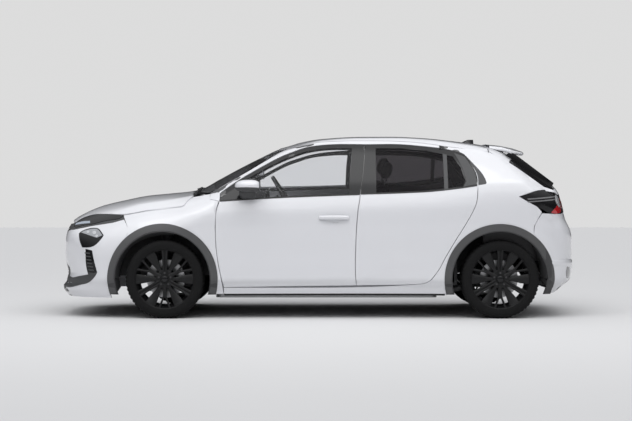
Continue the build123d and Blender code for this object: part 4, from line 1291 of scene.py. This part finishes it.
for angle in range(0, 360, 60):
    face_pieces.append(arm(angle, [(44, 0, 12, 84, 26), (88, 0, 15, 80, 20), (140, 0, 27, 80, 16),
        (196, 0, 38, 84, 14), (226, 0, 41, 90, 14), (237, 0, 36, 94, 14)]))
hub_profile = [(0, 88), (26, 88), (28, 86), (28, 80), (62, 84), (74, 82), (80, 70), (80, 40), (0, 40)]
face_pieces.append(lathe(hub_profile, 60))
bolt_pieces = []
for k in range(5):
    a = math.tau * k / 5 + math.pi / 2
    points, faces = lathe([(0, 92), (8, 92), (9.5, 90), (9.5, 76)], 6)
    bolt_pieces.append(([(x + 50 * math.cos(a), out, z + 50 * math.sin(a)) for x, out, z in points], faces))
cap_profile = [(0, 95), (18, 95), (24, 93), (27, 89), (27, 84)]
disc_profile = [(84, -24), (86, -12), (90, -10), (155, -10), (156, -13), (156, -33), (155, -36), (90, -36),
    (84, -24)]
tread_profile = [
    (232, 96), (244, 109), (262, 112), (280, 112.4), (292, 110), (302, 104.5), (310, 98), (315, 88),
        (317, 76),
    (317.6, 64), (317.8, 57), (310, 56), (310, 48), (317.9, 47), (318, 30), (318, 21), (310, 20), (310, 11),
    (318, 10), (318, -10),
    (310, -11), (310, -20), (318, -21), (318, -30), (317.9, -47), (310, -48), (310, -56), (317.8, -57),
    (317.6, -64), (317, -76), (315, -88),
    (310, -98), (302, -104.5), (292, -110), (280, -112.4), (262, -112), (244, -109), (232, -96),
]


def tread(turns=168):
    """The tyre, with cross grooves let into its shoulders and thin raised rings on its sides."""
    points, faces = lathe(tread_profile, turns)
    n = len(tread_profile)
    cut = []
    for i, (x, out, z) in enumerate(points):
        radius = math.hypot(x, z)
        turn = i // n
        sunk = 6.5 if radius > 313 and abs(out) > 30 and turn % 3 == 0 else 0
        if 296 < radius < 313 and abs(out) > 92 and turn % 3 == 0:
            sunk = 2.5
        scale = (radius - sunk) / radius
        cut.append((x * scale, out, z * scale))
    return cut, faces


def wheel_piece(name, made_from, finish, centre, side, body, sharp=40, bevel=0.0):
    points, faces = made_from
    placed = [(centre[0] + x * side, centre[1] + side * out, centre[2] + z) for x, out, z in points]
    made = new_object(name, placed, faces, finish, sharp=sharp)
    tidy = bmesh.new()
    tidy.from_mesh(made.data)
    bmesh.ops.remove_doubles(tidy, verts=tidy.verts, dist=1e-6)
    bmesh.ops.recalc_face_normals(tidy, faces=tidy.faces)
    tidy.to_mesh(made.data)
    tidy.free()
    if bevel:
        softened(made, bevel, 2, 40)
    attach(made, body)
    return made


wheel_face, bolts, cap, disc, cover = gathered(face_pieces), gathered(bolt_pieces), lathe(cap_profile,
    40), lathe(disc_profile), tread()
for word, side in (("left", 1), ("right", -1)):
    for end in ("front", "rear"):
        low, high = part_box(f"{word}_{end}_tyre")
        centre = [500 * (low[i] + high[i]) for i in range(3)]
        body = f"{word}_{end}_road_wheel"
        rim = wheel_piece(f"{word}_{end}_alloy", wheel_face, wheel_black, centre, side, body,
            bevel=1.5)
        wheel_piece(f"{word}_{end}_wheel_bolts", bolts, cast_iron, centre, side, body)
        wheel_piece(f"{word}_{end}_wheel_cap", cap, gloss_black, centre, side, body)
        wheel_piece(f"{word}_{end}_brake_disc", disc, disc_steel, centre, side,
            body)
        rubber = wheel_piece(f"{word}_{end}_tread", cover, tyre_rubber, centre, side, body,
        sharp=30)
        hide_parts(f"{word}_{end}_wheel")
        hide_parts(f"{word}_{end}_tyre")

# ---------------------------------------------------------------- cabin trim
# Soft moulded dashboard with an instrument hood and a flat screen, door cards, pillar trims, a
# cloth headlining and a needled carpet, all dark.
dark_trim = finish_of("soft dark trim", (0.020, 0.019, 0.021), 0.55, change=0.12, change_scale=12,
    grain=(800, 0.35))
headlining = finish_of("headlining cloth", (0.055, 0.052, 0.055), 0.9, change=0.1, change_scale=60,
    grain=(1600, 0.5), Sheen_Weight=0.2)
carpet = finish_of("needled carpet", (0.014, 0.014, 0.015), 0.95, change=0.3, change_scale=300,
    grain=(2200, 0.9), Sheen_Weight=0.15)


def lining(name, outline, finish, body, depth, holes=(), slot="dash_trim", side=1, lift=10.0, spacing=40.0,
    chart="sides"):
    """A trim panel inside the body, following its surface at a depth, its edges turned outwards."""
    made = body_panel(
        name, outline, finish, body, slot, holes=holes, proud=-depth, edge=-lift, spacing=spacing,
            side=side, chart=chart,
    )
    flipped = bmesh.new()
    flipped.from_mesh(made.data)
    bmesh.ops.reverse_faces(flipped, faces=flipped.faces)
    flipped.to_mesh(made.data)
    flipped.free()
    return made


front_card = [
    (772, 905), (784, 742), (778, 581), (764, 445), (740, 330), (715, 300), (-270, 310), (-274, 742),
        (-292, 880),
    (-298, 925), (0, 935), (400, 925),
]
rear_card = [
    (-362, 310), (-362, 742), (-374, 925), (-700, 940), (-1230, 962), (-1225, 900), (-1150, 754),
        (-1060, 590),
    (-985, 470), (-920, 350), (-870, 325),
]
both(lining, "front_door_card", in_side_view(*front_card), dark_trim, body="{}_front_door", depth=119.5,
    lift=60)
both(lining, "rear_door_card", in_side_view(*rear_card), dark_trim, body="{}_rear_door", depth=119.5,
    lift=60)
front_frame = [(770, 938), (-322, 990), (-326, 1030), (-366, 1385), (-134, 1396), (-9, 1386), (210, 1330),
    (432, 1222), (642, 1096), (765, 1010)]
both(
    lining, "front_window_trim", in_side_view(*front_frame), dark_trim, body="{}_front_door", depth=29.5,
    holes=[in_side_view(*front_pane)], lift=8, spacing=30,
)
rear_frame = [(-372, 1000), (-372, 1030), (-410, 1390), (-678, 1394), (-890, 1376), (-1110, 1342),
    (-1190, 1310), (-1272, 1160), (-1276, 1080), (-1178, 1040), (-669, 1002)]
both(
    lining, "rear_window_trim", in_side_view(*rear_frame), dark_trim, body="{}_rear_door", depth=29.5,
    holes=[in_side_view(*rear_pane), in_side_view(*quarter_pane)], lift=8, spacing=30,
)
for word, side in (("left", 1), ("right", -1)):
    for end, x_mid, z_mid in (("front", 250, 700), ("rear", -700, 720)):
        rest = in_side_view(*[(x_mid + 260 * t, z_mid + 18 * t * t) for t in np.linspace(-1, 1, 15)])
        rest[:, 1] = (rest[:, 1] - 140) * side
        arm_rest = sweep(f"{word}_{end}_arm_rest", rest, [(-26, -30), (20, -30), (28, 0), (20, 16),
            (-20, 16), (-28, 0)], dark_trim)
        softened(arm_rest, 8, 3)
        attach(arm_rest, f"{word}_{end}_door")
        pull = rest[4:8] + (0, -side * 20, 46)
        opener = sweep(f"{word}_{end}_inner_handle", pull + (150, 0, 60), [(-4, -9), (4, -9), (4, 9),
            (-4, 9)], disc_steel)
        softened(opener, 2)
        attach(opener, f"{word}_{end}_door")

pillar_zone = [
    (860, 300), (860, 870), (790, 915), (770, 1000), (640, 1104), (432, 1230), (210, 1336), (-134, 1402),
        (-678, 1402),
    (-890, 1386), (-1110, 1350), (-1225, 1310), (-1318, 1160), (-1318, 940), (-1250, 770), (-1100, 520),
    (-950, 330), (-880, 300),
]
front_gap = [(750, 942), (784, 742), (778, 581), (730, 320), (-268, 320), (-274, 700), (-306, 960),
    (-314, 1376), (-134, 1376), (116, 1342), (308, 1268), (432, 1204), (640, 1082)]
rear_gap = [(-348, 320), (-352, 742), (-379, 1000), (-476, 1376), (-678, 1376), (-890, 1359), (-1098, 1311),
    (-1196, 1110), (-1248, 954), (-1154, 754), (-1000, 505), (-920, 360), (-870, 320)]
both(
    lining, "pillar_trim", in_side_view(*pillar_zone), dark_trim, body="car_body", depth=113,
    holes=[in_side_view(*front_gap), in_side_view(*rear_gap)], lift=30,
)
lining_left = in_plan((-1380, 60), (-1380, 470), (-1000, 500), (-400, 516), (100, 500), (222, 470),
    (262, 300), (270, 60))
lining("roof_headlining", with_mirror(lining_left), headlining, "car_body", 34, slot="seat_cloth",
    spacing=60)


def slab_of(name, outline_xy, level, finish, thick, body="car_body"):
    """A flat-laid sheet with soft edges, such as the carpet."""
    n = len(outline_xy)
    points = [(x, y, level) for x, y in outline_xy] + [(x, y, level - thick) for x, y in outline_xy]
    faces = [tuple(range(n)), tuple(range(2 * n - 1, n - 1, -1))]
    faces += [(k, n + k, n + (k + 1) % n, (k + 1) % n) for k in range(n)]
    made = new_object(name, points, faces, finish)
    tidy = bmesh.new()
    tidy.from_mesh(made.data)
    bmesh.ops.recalc_face_normals(tidy, faces=tidy.faces)
    tidy.to_mesh(made.data)
    tidy.free()
    softened(made, 3, 2, 60)
    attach(made, body)
    return made


slab_of("cabin_carpet", [(790, -640), (790, 640), (-1090, 640), (-1090, -640)], 292, carpet, 7)
slab_of("boot_carpet", [(-1130, -560), (-1130, 560), (-1990, 540), (-1990, -540)], 464, carpet, 8)
boot_side = [(-1340, 470), (-1340, 1120), (-1480, 1150), (-1800, 1010), (-1900, 900), (-1930, 470)]
both(
    lining, "boot_side_trim", in_side_view(*boot_side), dark_trim, body="car_body", depth=120, lift=70,
)

dash_rows = []
for y in np.linspace(-655, 655, 27):
    hood = 34 * math.exp(-((y - 370) / 190) ** 4)
    dash_rows.append([
        (790, y, 912), (700, y, 962), (610, y, 972 + hood * 0.6), (520, y, 966 + hood),
            (455, y, 952 + hood), (424, y, 930 + hood * 0.4),
        (420, y, 905), (428, y, 880), (452, y, 860), (462, y, 820), (470, y, 765), (520, y, 728),
        (560, y, 700), (596, y, 600),
        (596, y, 430), (800, y, 430),
    ])
n = len(dash_rows[0])
dash_faces = [
    (n * r + k, n * r + (k + 1) % n, n * (r + 1) + (k + 1) % n, n * (r + 1) + k) for r in range(26)
        for k in range(n)
]
dash_faces += [tuple(reversed(range(n))), tuple(range(26 * n, 27 * n))]
dash = new_object("dashboard_top", [p for row in dash_rows for p in row], dash_faces, dark_trim, sharp=60)
softened(dash, 6, 2, 50)
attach(dash, "car_body")
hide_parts("dashboard")
screen_finish = finish_of("switched-off screen", (0.006, 0.006, 0.007), 0.08, change=0.05,
    Specular_IOR_Level=0.5)
for name, y_low, y_high, x, z_low, z_high in (("centre_screen", -120, 130, 402, 880, 1010),
    ("driver_screen", 250, 490, 410, 925, 1010)):
    panel = [(x, y, z) for y in (y_low, y_high) for z in (z_low, z_high)]
    points = panel + [(px + 14, y, z) for px, y, z in panel]
    faces = [(0, 1, 3, 2), (4, 6, 7, 5), (0, 4, 5, 1), (2, 3, 7, 6), (0, 2, 6, 4), (1, 5, 7, 3)]
    tablet = new_object(name, points, faces, screen_finish)
    softened(tablet, 5, 3)
    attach(tablet, "car_body")
for number, y in enumerate((-600, -150, 160, 600)):
    vent_pieces = []
    for row in range(4):
        z = 866 + 11 * row
        vent_pieces.append((
            [(416 + dx, y + dy, z + dz) for dx in (0, 14) for dy in (-45, 45) for dz in (0, 4)],
            [(0, 2, 3, 1), (4, 5, 7, 6), (0, 1, 5, 4), (2, 6, 7, 3), (0, 4, 6, 2), (1, 3, 7, 5)],
        ))
    vent = new_object(f"air_vent_{number + 1}", *gathered(vent_pieces), gloss_black)
    softened(vent, 1, 1)
    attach(vent, "car_body")

# ---------------------------------------------------------------- steering wheel
# A leather rim on three flat spokes with a soft centre pad, on its column behind the dashboard.
leather = finish_of("stitched leather", (0.018, 0.017, 0.018), 0.42, change=0.12, change_scale=25,
    grain=(1100, 0.4))
hub_centre = np.array((272.0, 370.0, 967.0))
axle = np.array((0.848, 0, -0.530))
side_way = np.array((0.0, 1.0, 0.0))
up_way = np.cross(axle, side_way)
rim_points, rim_faces = [], []
for t in range(72):
    a = math.tau * t / 72
    out = side_way * math.cos(a) + up_way * math.sin(a)
    thick = 15 + 1.6 * math.cos(4 * a)
    for k in range(14):
        b = math.tau * k / 14
        rim_points.append(tuple(hub_centre + out * (178 + thick * math.cos(b)) + axle * thick
            * math.sin(b)))
    u = (t + 1) % 72
    rim_faces += [(14 * t + k, 14 * t + (k + 1) % 14, 14 * u + (k + 1) % 14, 14 * u + k) for k in range(14)]
steering_rim = new_object("steering_rim", rim_points, rim_faces, leather)
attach(steering_rim, "steering_wheel")
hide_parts("steering_wheel")
for number, turn in enumerate((0, 180, 270)):
    a = math.radians(turn)
    out = side_way * math.cos(a) - up_way * math.sin(a)
    across = np.cross(axle, out)
    spoke_points = []
    for radius, half in ((40, 34), (90, 22), (140, 17), (172, 20)):
        for w, d in ((-half, 6), (half, 6), (half * 0.9, -6), (-half * 0.9, -6)):
            spoke_points.append(tuple(hub_centre + out * radius + across * w + axle * (d + 4)))
    spoke_faces = [(4 * r + k, 4 * r + (k + 1) % 4, 4 * r + 4 + (k + 1) % 4, 4 * r + 4 + k)
        for r in range(3) for k in range(4)]
    spoke_faces += [(3, 2, 1, 0), (12, 13, 14, 15)]
    spoke = new_object(f"steering_spoke_{number + 1}", spoke_points, spoke_faces, gloss_black)
    softened(spoke, 3)
    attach(spoke, "steering_wheel")
pad_points, pad_faces = [], []
for r, (radius, lift_by) in enumerate(((70, 22), (68, 4), (58, -12), (36, -20), (10, -23))):
    for k in range(32):
        a = math.tau * k / 32
        flat = 0.86 if math.sin(a) > 0 else 1.0
        pad_points.append(tuple(hub_centre + (side_way * math.cos(a) * 1.1 + up_way * math.sin(a) * flat)
            * radius + axle * lift_by))
pad_faces = [(32 * r + k, 32 * r + (k + 1) % 32, 32 * r + 32 + (k + 1) % 32, 32 * r + 32 + k)
    for r in range(4) for k in range(32)]
pad_faces += [tuple(range(128, 160)), tuple(reversed(range(32)))]
centre_pad = new_object("steering_pad", pad_points, pad_faces, dark_trim, sharp=50)
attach(centre_pad, "steering_wheel")
shroud = sweep(
    "column_shroud", [tuple(hub_centre + axle * d) for d in (44, 90, 150, 230)],
    [(44 * math.cos(a), 38 * math.sin(a)) for a in np.linspace(0, math.tau, 25)[:-1]], dark_trim,
)
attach(shroud, "car_body")
for number, way in enumerate((1, -1)):
    stalk = sweep(
        f"column_stalk_{number + 1}",
        [tuple(hub_centre + axle * 60 + side_way * way * d + (0, 0, 0.1 * d)) for d in (30, 80, 130, 150)],
        [(7, 0), (5, 5), (0, 7), (-5, 5), (-7, 0), (-5, -5), (0, -7), (5, -5)], gloss_black,
    )
    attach(stalk, "car_body")

# ---------------------------------------------------------------- seats
# Foam seats in dark woven cloth: each cushion and backrest is a soft middle between two firmer
# bolsters, sewn together, with a separate head restraint on a steel stem.
seat_cloth = bpy.data.materials.new("woven seat cloth")
seat_cloth.use_nodes = True
cloth_nodes, cloth_links = seat_cloth.node_tree.nodes, seat_cloth.node_tree.links
cloth_shader = cloth_nodes["Principled BSDF"]
cloth_place = cloth_nodes.new("ShaderNodeTexCoord")
warp = cloth_nodes.new("ShaderNodeTexWave")
warp.inputs["Scale"].default_value = 160
warp.bands_direction = "Y"
weft = cloth_nodes.new("ShaderNodeTexWave")
weft.inputs["Scale"].default_value = 160
weft.bands_direction = "DIAGONAL"
woven = cloth_nodes.new("ShaderNodeMath")
woven.operation = "MULTIPLY"
cloth_bump = cloth_nodes.new("ShaderNodeBump")
cloth_bump.inputs["Strength"].default_value = 0.5
cloth_bump.inputs["Distance"].default_value = 0.0008
cloth_tone = cloth_nodes.new("ShaderNodeMix")
cloth_tone.data_type = "RGBA"
cloth_tone.inputs["A"].default_value = (0.018, 0.013, 0.016, 1)
cloth_tone.inputs["B"].default_value = (0.052, 0.038, 0.046, 1)
for wave in (warp, weft):
    cloth_links.new(cloth_place.outputs["Object"], wave.inputs["Vector"])
cloth_links.new(warp.outputs["Fac"], woven.inputs[0])
cloth_links.new(weft.outputs["Fac"], woven.inputs[1])
cloth_links.new(woven.outputs[0], cloth_tone.inputs["Factor"])
cloth_links.new(woven.outputs[0], cloth_bump.inputs["Height"])
cloth_links.new(cloth_tone.outputs["Result"], cloth_shader.inputs["Base Color"])
cloth_links.new(cloth_bump.outputs["Normal"], cloth_shader.inputs["Normal"])
cloth_shader.inputs["Roughness"].default_value = 0.88
cloth_shader.inputs["Sheen Weight"].default_value = 0.3
bolster_cloth = finish_of("bolster cloth", (0.016, 0.014, 0.016), 0.7, change=0.15, change_scale=30,
    grain=(1300, 0.45), Sheen_Weight=0.2)


def sewn_form(corners, y_low, y_high, rounding=0.30, count=44, rows=13):
    """A closed form on a side outline (x, z), crowned towards both of its ends across the car."""
    outline = rounded_line(corners, 8, sharp=100)
    outline = outline[np.linspace(0, len(outline) - 1, count).astype(int)]
    middle = outline.mean(axis=0)
    points, faces = [], []
    for t in np.linspace(-1, 1, rows):
        size = 1 - rounding * abs(t) ** 7
        y = (y_low + y_high) / 2 + (y_high - y_low) / 2 * math.copysign(abs(t) ** 0.8, t)
        points += [(*(middle + (p - middle) * size)[:1], y, (middle + (p - middle) * size)[1])
            for p in outline]
    for r in range(rows - 1):
        faces += [(count * r + k, count * r + (k + 1) % count, count * (r + 1) + (k + 1) % count, count
            * (r + 1) + k) for k in range(count)]
    faces += [tuple(reversed(range(count))), tuple(range(count * (rows - 1), count * rows))]
    return points, faces


def stuffed(name, corners, y_low, y_high, finish, fill, cap=0.022, voxel=0.011):
    """A foam pad: its cover is blown out a little by cloth simulation and then fixed."""
    made = new_object(name, *sewn_form(corners, y_low, y_high), finish, sharp=180)
    tidy = bmesh.new()
    tidy.from_mesh(made.data)
    bmesh.ops.recalc_face_normals(tidy, faces=tidy.faces)
    tidy.to_mesh(made.data)
    tidy.free()
    remesh = made.modifiers.new("even cover", "REMESH")
    remesh.mode = "VOXEL"
    remesh.voxel_size = voxel
    depsgraph = bpy.context.evaluated_depsgraph_get()
    cover = bpy.data.meshes.new_from_object(made.evaluated_get(depsgraph))
    made.modifiers.clear()
    made.data = cover
    start = np.array([v.co[:] for v in cover.vertices])
    cloth = made.modifiers.new("stuffing", "CLOTH")
    cloth.settings.use_pressure = True
    cloth.settings.uniform_pressure_force = 4
    cloth.settings.effector_weights.gravity = 0
    for step in range(1, 21):
        scene.frame_set(step)
    depsgraph = bpy.context.evaluated_depsgraph_get()
    blown = bpy.data.meshes.new_from_object(made.evaluated_get(depsgraph))
    made.modifiers.clear()
    scene.frame_set(1)
    end = np.array([v.co[:] for v in blown.vertices])
    move = end - start
    length = np.maximum(np.linalg.norm(move, axis=1, keepdims=True), 1e-9)
    end = start + move * np.minimum(1, cap / length)
    cover.vertices.foreach_set("co", end.ravel())
    cover.update()
    if not cover.materials:
        cover.materials.append(finish)
    cover.shade_smooth()
    made.modifiers.new("soft cover", "SUBSURF").levels = 1
    made.modifiers["soft cover"].render_levels = 1
    return made


def placed_pad(made, body, fill):
    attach(made, body)
    return made


def copy_of(made, name, mirror=False, shift=0.0):
    """The same pad again, mirrored to the other side or moved across the car."""
    again = made.copy()
    again.data = made.data.copy()
    again.name = again.data.name = name
    scene.collection.objects.link(again)
    again.data.transform(Matrix.Scale(-1, 4, (0, 1, 0)) if mirror
        else Matrix.Translation((0, shift / 1000, 0)))
    if mirror:
        again.data.flip_normals()
    return again


seat_pads = (
    ("seat_cushion", [(-300, 420), (-290, 506), (60, 520), (124, 496), (130, 436), (60, 410)], 220, 520,
        seat_cloth, 0.7),
    ("seat_cushion_inner_bolster", [(-300, 416), (-300, 528), (0, 548), (90, 520), (110, 440), (40, 408)],
    132, 212, bolster_cloth, 0.85),
    ("seat_cushion_outer_bolster", [(-300, 416), (-300, 528), (0, 548), (90, 520), (110, 440), (40, 408)],
    528, 608, bolster_cloth, 0.85),
    ("seat_back", [(-330, 540), (-400, 530), (-578, 1040), (-560, 1072), (-510, 1062), (-430, 850),
    (-380, 700)], 228, 517, seat_cloth, 0.7),
    ("seat_back_inner_bolster", [(-290, 540), (-392, 520), (-560, 1000), (-530, 1046), (-480, 1010),
    (-380, 800), (-316, 700)], 150, 222, bolster_cloth, 0.85),
    ("seat_back_outer_bolster", [(-290, 540), (-392, 520), (-560, 1000), (-530, 1046), (-480, 1010),
    (-380, 800), (-316, 700)], 523, 595, bolster_cloth, 0.85),
    ("seat_head_restraint", [(-584, 1116), (-622, 1232), (-588, 1250), (-550, 1232), (-532, 1130)], 262,
    483, seat_cloth, 0.8),
)
for pad_name, corners, y_low, y_high, cloth_finish, fill in seat_pads:
    pad = stuffed(f"left_{pad_name}", corners, y_low, y_high, cloth_finish, fill)
    other = copy_of(pad, f"right_{pad_name}", mirror=True)
    placed_pad(pad, "car_body", fill)
    placed_pad(other, "car_body", fill)
    if pad_name == "seat_cushion":
        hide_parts("front_seats")
rear_cushion = [(-1094, 470), (-1092, 548), (-780, 574), (-716, 536), (-728, 410), (-1060, 420)]
rear_backrest = [(-1130, 500), (-1345, 1030), (-1318, 1062), (-1276, 1042), (-1080, 580), (-1094, 520)]
rear_head = [(-1362, 1082), (-1392, 1168), (-1352, 1192), (-1312, 1168), (-1308, 1084)]
outer_cushion = stuffed("rear_cushion_left", rear_cushion, 192, 578, seat_cloth, 0.7)
middle_cushion = stuffed("rear_cushion_middle", rear_cushion, -184, 184, seat_cloth, 0.7)
outer_back = stuffed("rear_backrest_left", rear_backrest, 192, 576, seat_cloth, 0.7)
middle_back = stuffed("rear_backrest_middle", rear_backrest, -184, 184, seat_cloth, 0.7)
rear_restraint = stuffed("rear_head_restraint_left", rear_head, 280, 480, seat_cloth, 0.8)
rear_pads = [
    outer_cushion, middle_cushion, outer_back, middle_back, rear_restraint,
    copy_of(outer_cushion, "rear_cushion_right", mirror=True), copy_of(outer_back, "rear_backrest_right",
        mirror=True),
    copy_of(rear_restraint, "rear_head_restraint_right", mirror=True),
    copy_of(rear_restraint, "rear_head_restraint_middle", shift=-380),
]
for pad in rear_pads:
    placed_pad(pad, "car_body", 0.7)
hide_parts("rear_seat")
stem_places = [(-562, side * y, 1050, -586, 1140) for side in (1, -1) for y in (320, 425)]
stem_places += [(-1318, y + d, 1020, -1345, 1110) for y in (-380, 0, 380) for d in (-45, 45)]
for number, (x_low, y, z_low, x_high, z_high) in enumerate(stem_places):
    stem = sweep(
        f"head_stem_{number + 1}", [(x_low, y, z_low), ((x_low + x_high) / 2, y, (z_low + z_high) / 2),
            (x_high, y, z_high)],
        [(6 * math.cos(a), 6 * math.sin(a)) for a in np.linspace(0, math.tau, 13)[:-1]], disc_steel,
    )
    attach(stem, "car_body")
for word, side in (("left", 1), ("right", -1)):
    shell_points, shell_faces = sewn_form([(-396, 470), (-420, 520), (-596, 1040), (-584, 1066),
        (-560, 1050), (-400, 560)], 160, 586, rounding=0.12)
    shell_points = [(x, side * y, z) for x, y, z in shell_points]
    seat_shell = new_object(f"{word}_seat_back_shell", shell_points, shell_faces, dark_trim, sharp=60)
    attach(seat_shell, "car_body")
    for number, y in enumerate((200, 540)):
        rail = sweep(
            f"{word}_seat_rail_{number + 1}", [(-290, side * y, 306), (0, side * y, 310),
                (120, side * y, 306)],
            [(-16, -14), (16, -14), (16, 6), (8, 14), (-8, 14), (-16, 6)], cast_iron,
        )
        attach(rail, "car_body")
        leg = sweep(
            f"{word}_seat_leg_{number + 1}", [(-80, side * y, 322), (-80, side * y, 380),
                (-80, side * y, 424)],
            [(-120, -10), (120, -10), (130, 0), (120, 10), (-120, 10), (-130, 0)], dark_trim,
        )
        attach(leg, "car_body")
    belt_path = [(-352, side * 690, 1150), (-360, side * 700, 1000), (-366, side * 716, 800),
        (-360, side * 724, 560), (-340, side * 728, 380)]
    belt = sweep(f"{word}_seat_belt", belt_path, [(-23, -1), (23, -1), (23, 1), (-23, 1)], bolster_cloth)
    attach(belt, "car_body")

console_points, console_faces = sewn_form(
    [(-325, 296), (-328, 566), (-260, 592), (-60, 586), (-40, 540), (180, 540), (300, 566), (410, 604),
        (424, 300)], -108, 108, rounding=0.05, count=80,
)
console = new_object("console_body", console_points, console_faces, dark_trim, sharp=50)
softened(console, 4, 2, 50)
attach(console, "car_body")
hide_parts("centre_console")
for number, x in enumerate((20, 120)):
    cup = lathe([(38, 548), (41, 550), (42, 546), (42, 542), (36, 541), (34, 500), (0, 498)], 40)
    cup_points = [(x + px, -30 + pz, out) for px, out, pz in cup[0]]
    holder = new_object(f"cup_holder_{number + 1}", cup_points, cup[1], gloss_black)
    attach(holder, "car_body")
for number, (y, half, low, high) in enumerate(((330, 26, 470, 560), (420, 40, 480, 540))):
    pedal = sweep(
        f"pedal_{number + 1}", [(600, y, low), (580, y, (low + high) / 2), (566, y, high)],
        [(-half, -6), (half, -6), (half, 4), (-half, 4)], disc_steel,
    )
    softened(pedal, 3)
    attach(pedal, "car_body")

# ---------------------------------------------------------------- under the bonnet and in the boot
# A ribbed plastic cover over the service space, a felt pad under the bonnet, and a moulded trim
# inside the tailgate.
cover_pieces = []
for k in range(9):
    x = 900 + 100 * k
    cover_pieces.append((
        [(x + dx, dy, z) for dx in (0, 96) for dy in (-425, 425) for z in (770, 786)],
        [(0, 2, 3, 1), (4, 5, 7, 6), (0, 1, 5, 4), (2, 6, 7, 3), (0, 4, 6, 2), (1, 3, 7, 5)],
    ))
service_cover = new_object("service_cover", *gathered(cover_pieces), corner_grain)
softened(service_cover, 6, 2)
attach(service_cover, "car_body")
pad_left = in_plan((1080, 60), (1090, 500), (1200, 640), (1600, 600), (1850, 520), (1960, 300), (1980, 60))
lining("bonnet_felt", with_mirror(pad_left), carpet, "bonnet", 26, slot="seat_cloth", spacing=50, lift=4)
inner_left = from_behind((60, 1010), (300, 1004), (480, 980), (480, 720), (60, 720))
lining("tailgate_trim", with_mirror(inner_left), dark_trim, "tailgate", 61, slot="dash_trim", chart="tail",
    lift=12)

# Carpeted inner walls close the rear wheel houses towards the boot.
rear_low, rear_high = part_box("left_rear_tyre")
house_x, house_z = 500 * (rear_low[0] + rear_high[0]), 500 * (rear_low[2] + rear_high[2])
for word, side in (("left", 1), ("right", -1)):
    rim = [(house_x + 383 * math.cos(a), house_z + 383 * math.sin(a)) for a in np.linspace(0.12, math.pi
        - 0.12, 40)]
    wall_points = [(x, side * y, z) for y in (600, 605) for x, z in rim]
    wall_faces = [tuple(range(40)), tuple(reversed(range(40, 80)))]
    wall_faces += [(k, (k + 1) % 40, 40 + (k + 1) % 40, 40 + k) for k in range(40)]
    wall = new_object(f"{word}_wheel_house_wall", wall_points, wall_faces, carpet)
    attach(wall, "car_body")

# ---------------------------------------------------------------- finishes of the plain structure
# The shells behind the panels, the underbody and the running gear keep their own shapes. Door
# and pillar shells are painted white below the belt line and black above it.
def two_tone(name, direction, limit, mirrored=False, ahead_of=-9.0):
    """White paint that turns black past a limit along one direction, ahead of a place along the car."""
    finish = white_paint.copy()
    finish.name = name
    nodes, links = finish.node_tree.nodes, finish.node_tree.links
    place = nodes.new("ShaderNodeTexCoord")
    along = nodes.new("ShaderNodeVectorMath")
    along.operation = "DOT_PRODUCT"
    along.inputs[1].default_value = direction
    links.new(place.outputs["Object"], along.inputs[0])
    measure = along.outputs["Value"]
    if mirrored:
        size = nodes.new("ShaderNodeMath")
        size.operation = "ABSOLUTE"
        links.new(measure, size.inputs[0])
        measure = size.outputs[0]
    past = nodes.new("ShaderNodeMath")
    past.operation = "LESS_THAN" if mirrored else "GREATER_THAN"
    past.inputs[1].default_value = limit
    links.new(measure, past.inputs[0])
    place_along = nodes.new("ShaderNodeSeparateXYZ")
    links.new(place.outputs["Object"], place_along.inputs[0])
    ahead = nodes.new("ShaderNodeMath")
    ahead.operation = "GREATER_THAN"
    ahead.inputs[1].default_value = ahead_of
    links.new(place_along.outputs["X"], ahead.inputs[0])
    both_past = nodes.new("ShaderNodeMath")
    both_past.operation = "MULTIPLY"
    links.new(past.outputs[0], both_past.inputs[0])
    links.new(ahead.outputs[0], both_past.inputs[1])
    shader = nodes["Principled BSDF"]
    tone = nodes.new("ShaderNodeMix")
    tone.data_type = "RGBA"
    tone.inputs["B"].default_value = (0.012, 0.012, 0.013, 1)
    links.new(both_past.outputs[0], tone.inputs["Factor"])
    links.new(shader.inputs["Base Color"].links[0].from_socket, tone.inputs["A"])
    links.new(tone.outputs["Result"], shader.inputs["Base Color"])
    return finish


pillar_paint = two_tone("pillar paint", (0.0694, 0, 1), 1.018, ahead_of=-1.345)
nose_paint = two_tone("nose shell paint", (0, 1, 0), 0.56, mirrored=True)
structure_finish = {
    "battery_pack": finish_of("folded aluminium", (0.36, 0.365, 0.37), 0.5, change=0.25, change_scale=9,
        grain=(300, 0.15), Metallic=0.9),
    "drive_unit": finish_of("sand-cast aluminium", (0.40, 0.40, 0.40), 0.6, change=0.25, change_scale=16,
    grain=(420, 0.7), Metallic=0.85),
    "floor_pan": finish_of("underbody sealer", (0.05, 0.05, 0.052), 0.75, change=0.3, change_scale=14,
    grain=(260, 0.7)),
}
structure_finish["front_bulkhead"] = structure_finish["floor_pan"]
for node in ("front_suspension", "rear_axle", "left_front_knuckle", "right_front_knuckle"):
    structure_finish[node] = cast_iron
for node in ("head_lamps", "tail_lamps"):
    structure_finish[node] = corner_grain
# The wheel arch liners take the darker copy of the arch trim, as painted shade.
structure_finish["wheel_arches"] = arch_painted_shade
for node in ("rear_bumper", "roof_panel", "front_wings", "bonnet", "tailgate"):
    structure_finish[node] = white_paint
for word in ("left", "right"):
    for end in ("front", "rear"):
        structure_finish[f"{word}_{end}_door"] = pillar_paint
    structure_finish[f"{word}_side_frame"] = pillar_paint
structure_finish["front_bumper"] = nose_paint
for node, finish in structure_finish.items():
    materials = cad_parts[node].data.materials
    if materials:
        for index in range(len(materials)):
            materials[index] = finish
    else:
        materials.append(finish)

# ---------------------------------------------------------------- sizes
# The CAD model's box and the finished model's box, kept side by side.
[[list(corner) for corner in made] for made in (cad_box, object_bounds())]
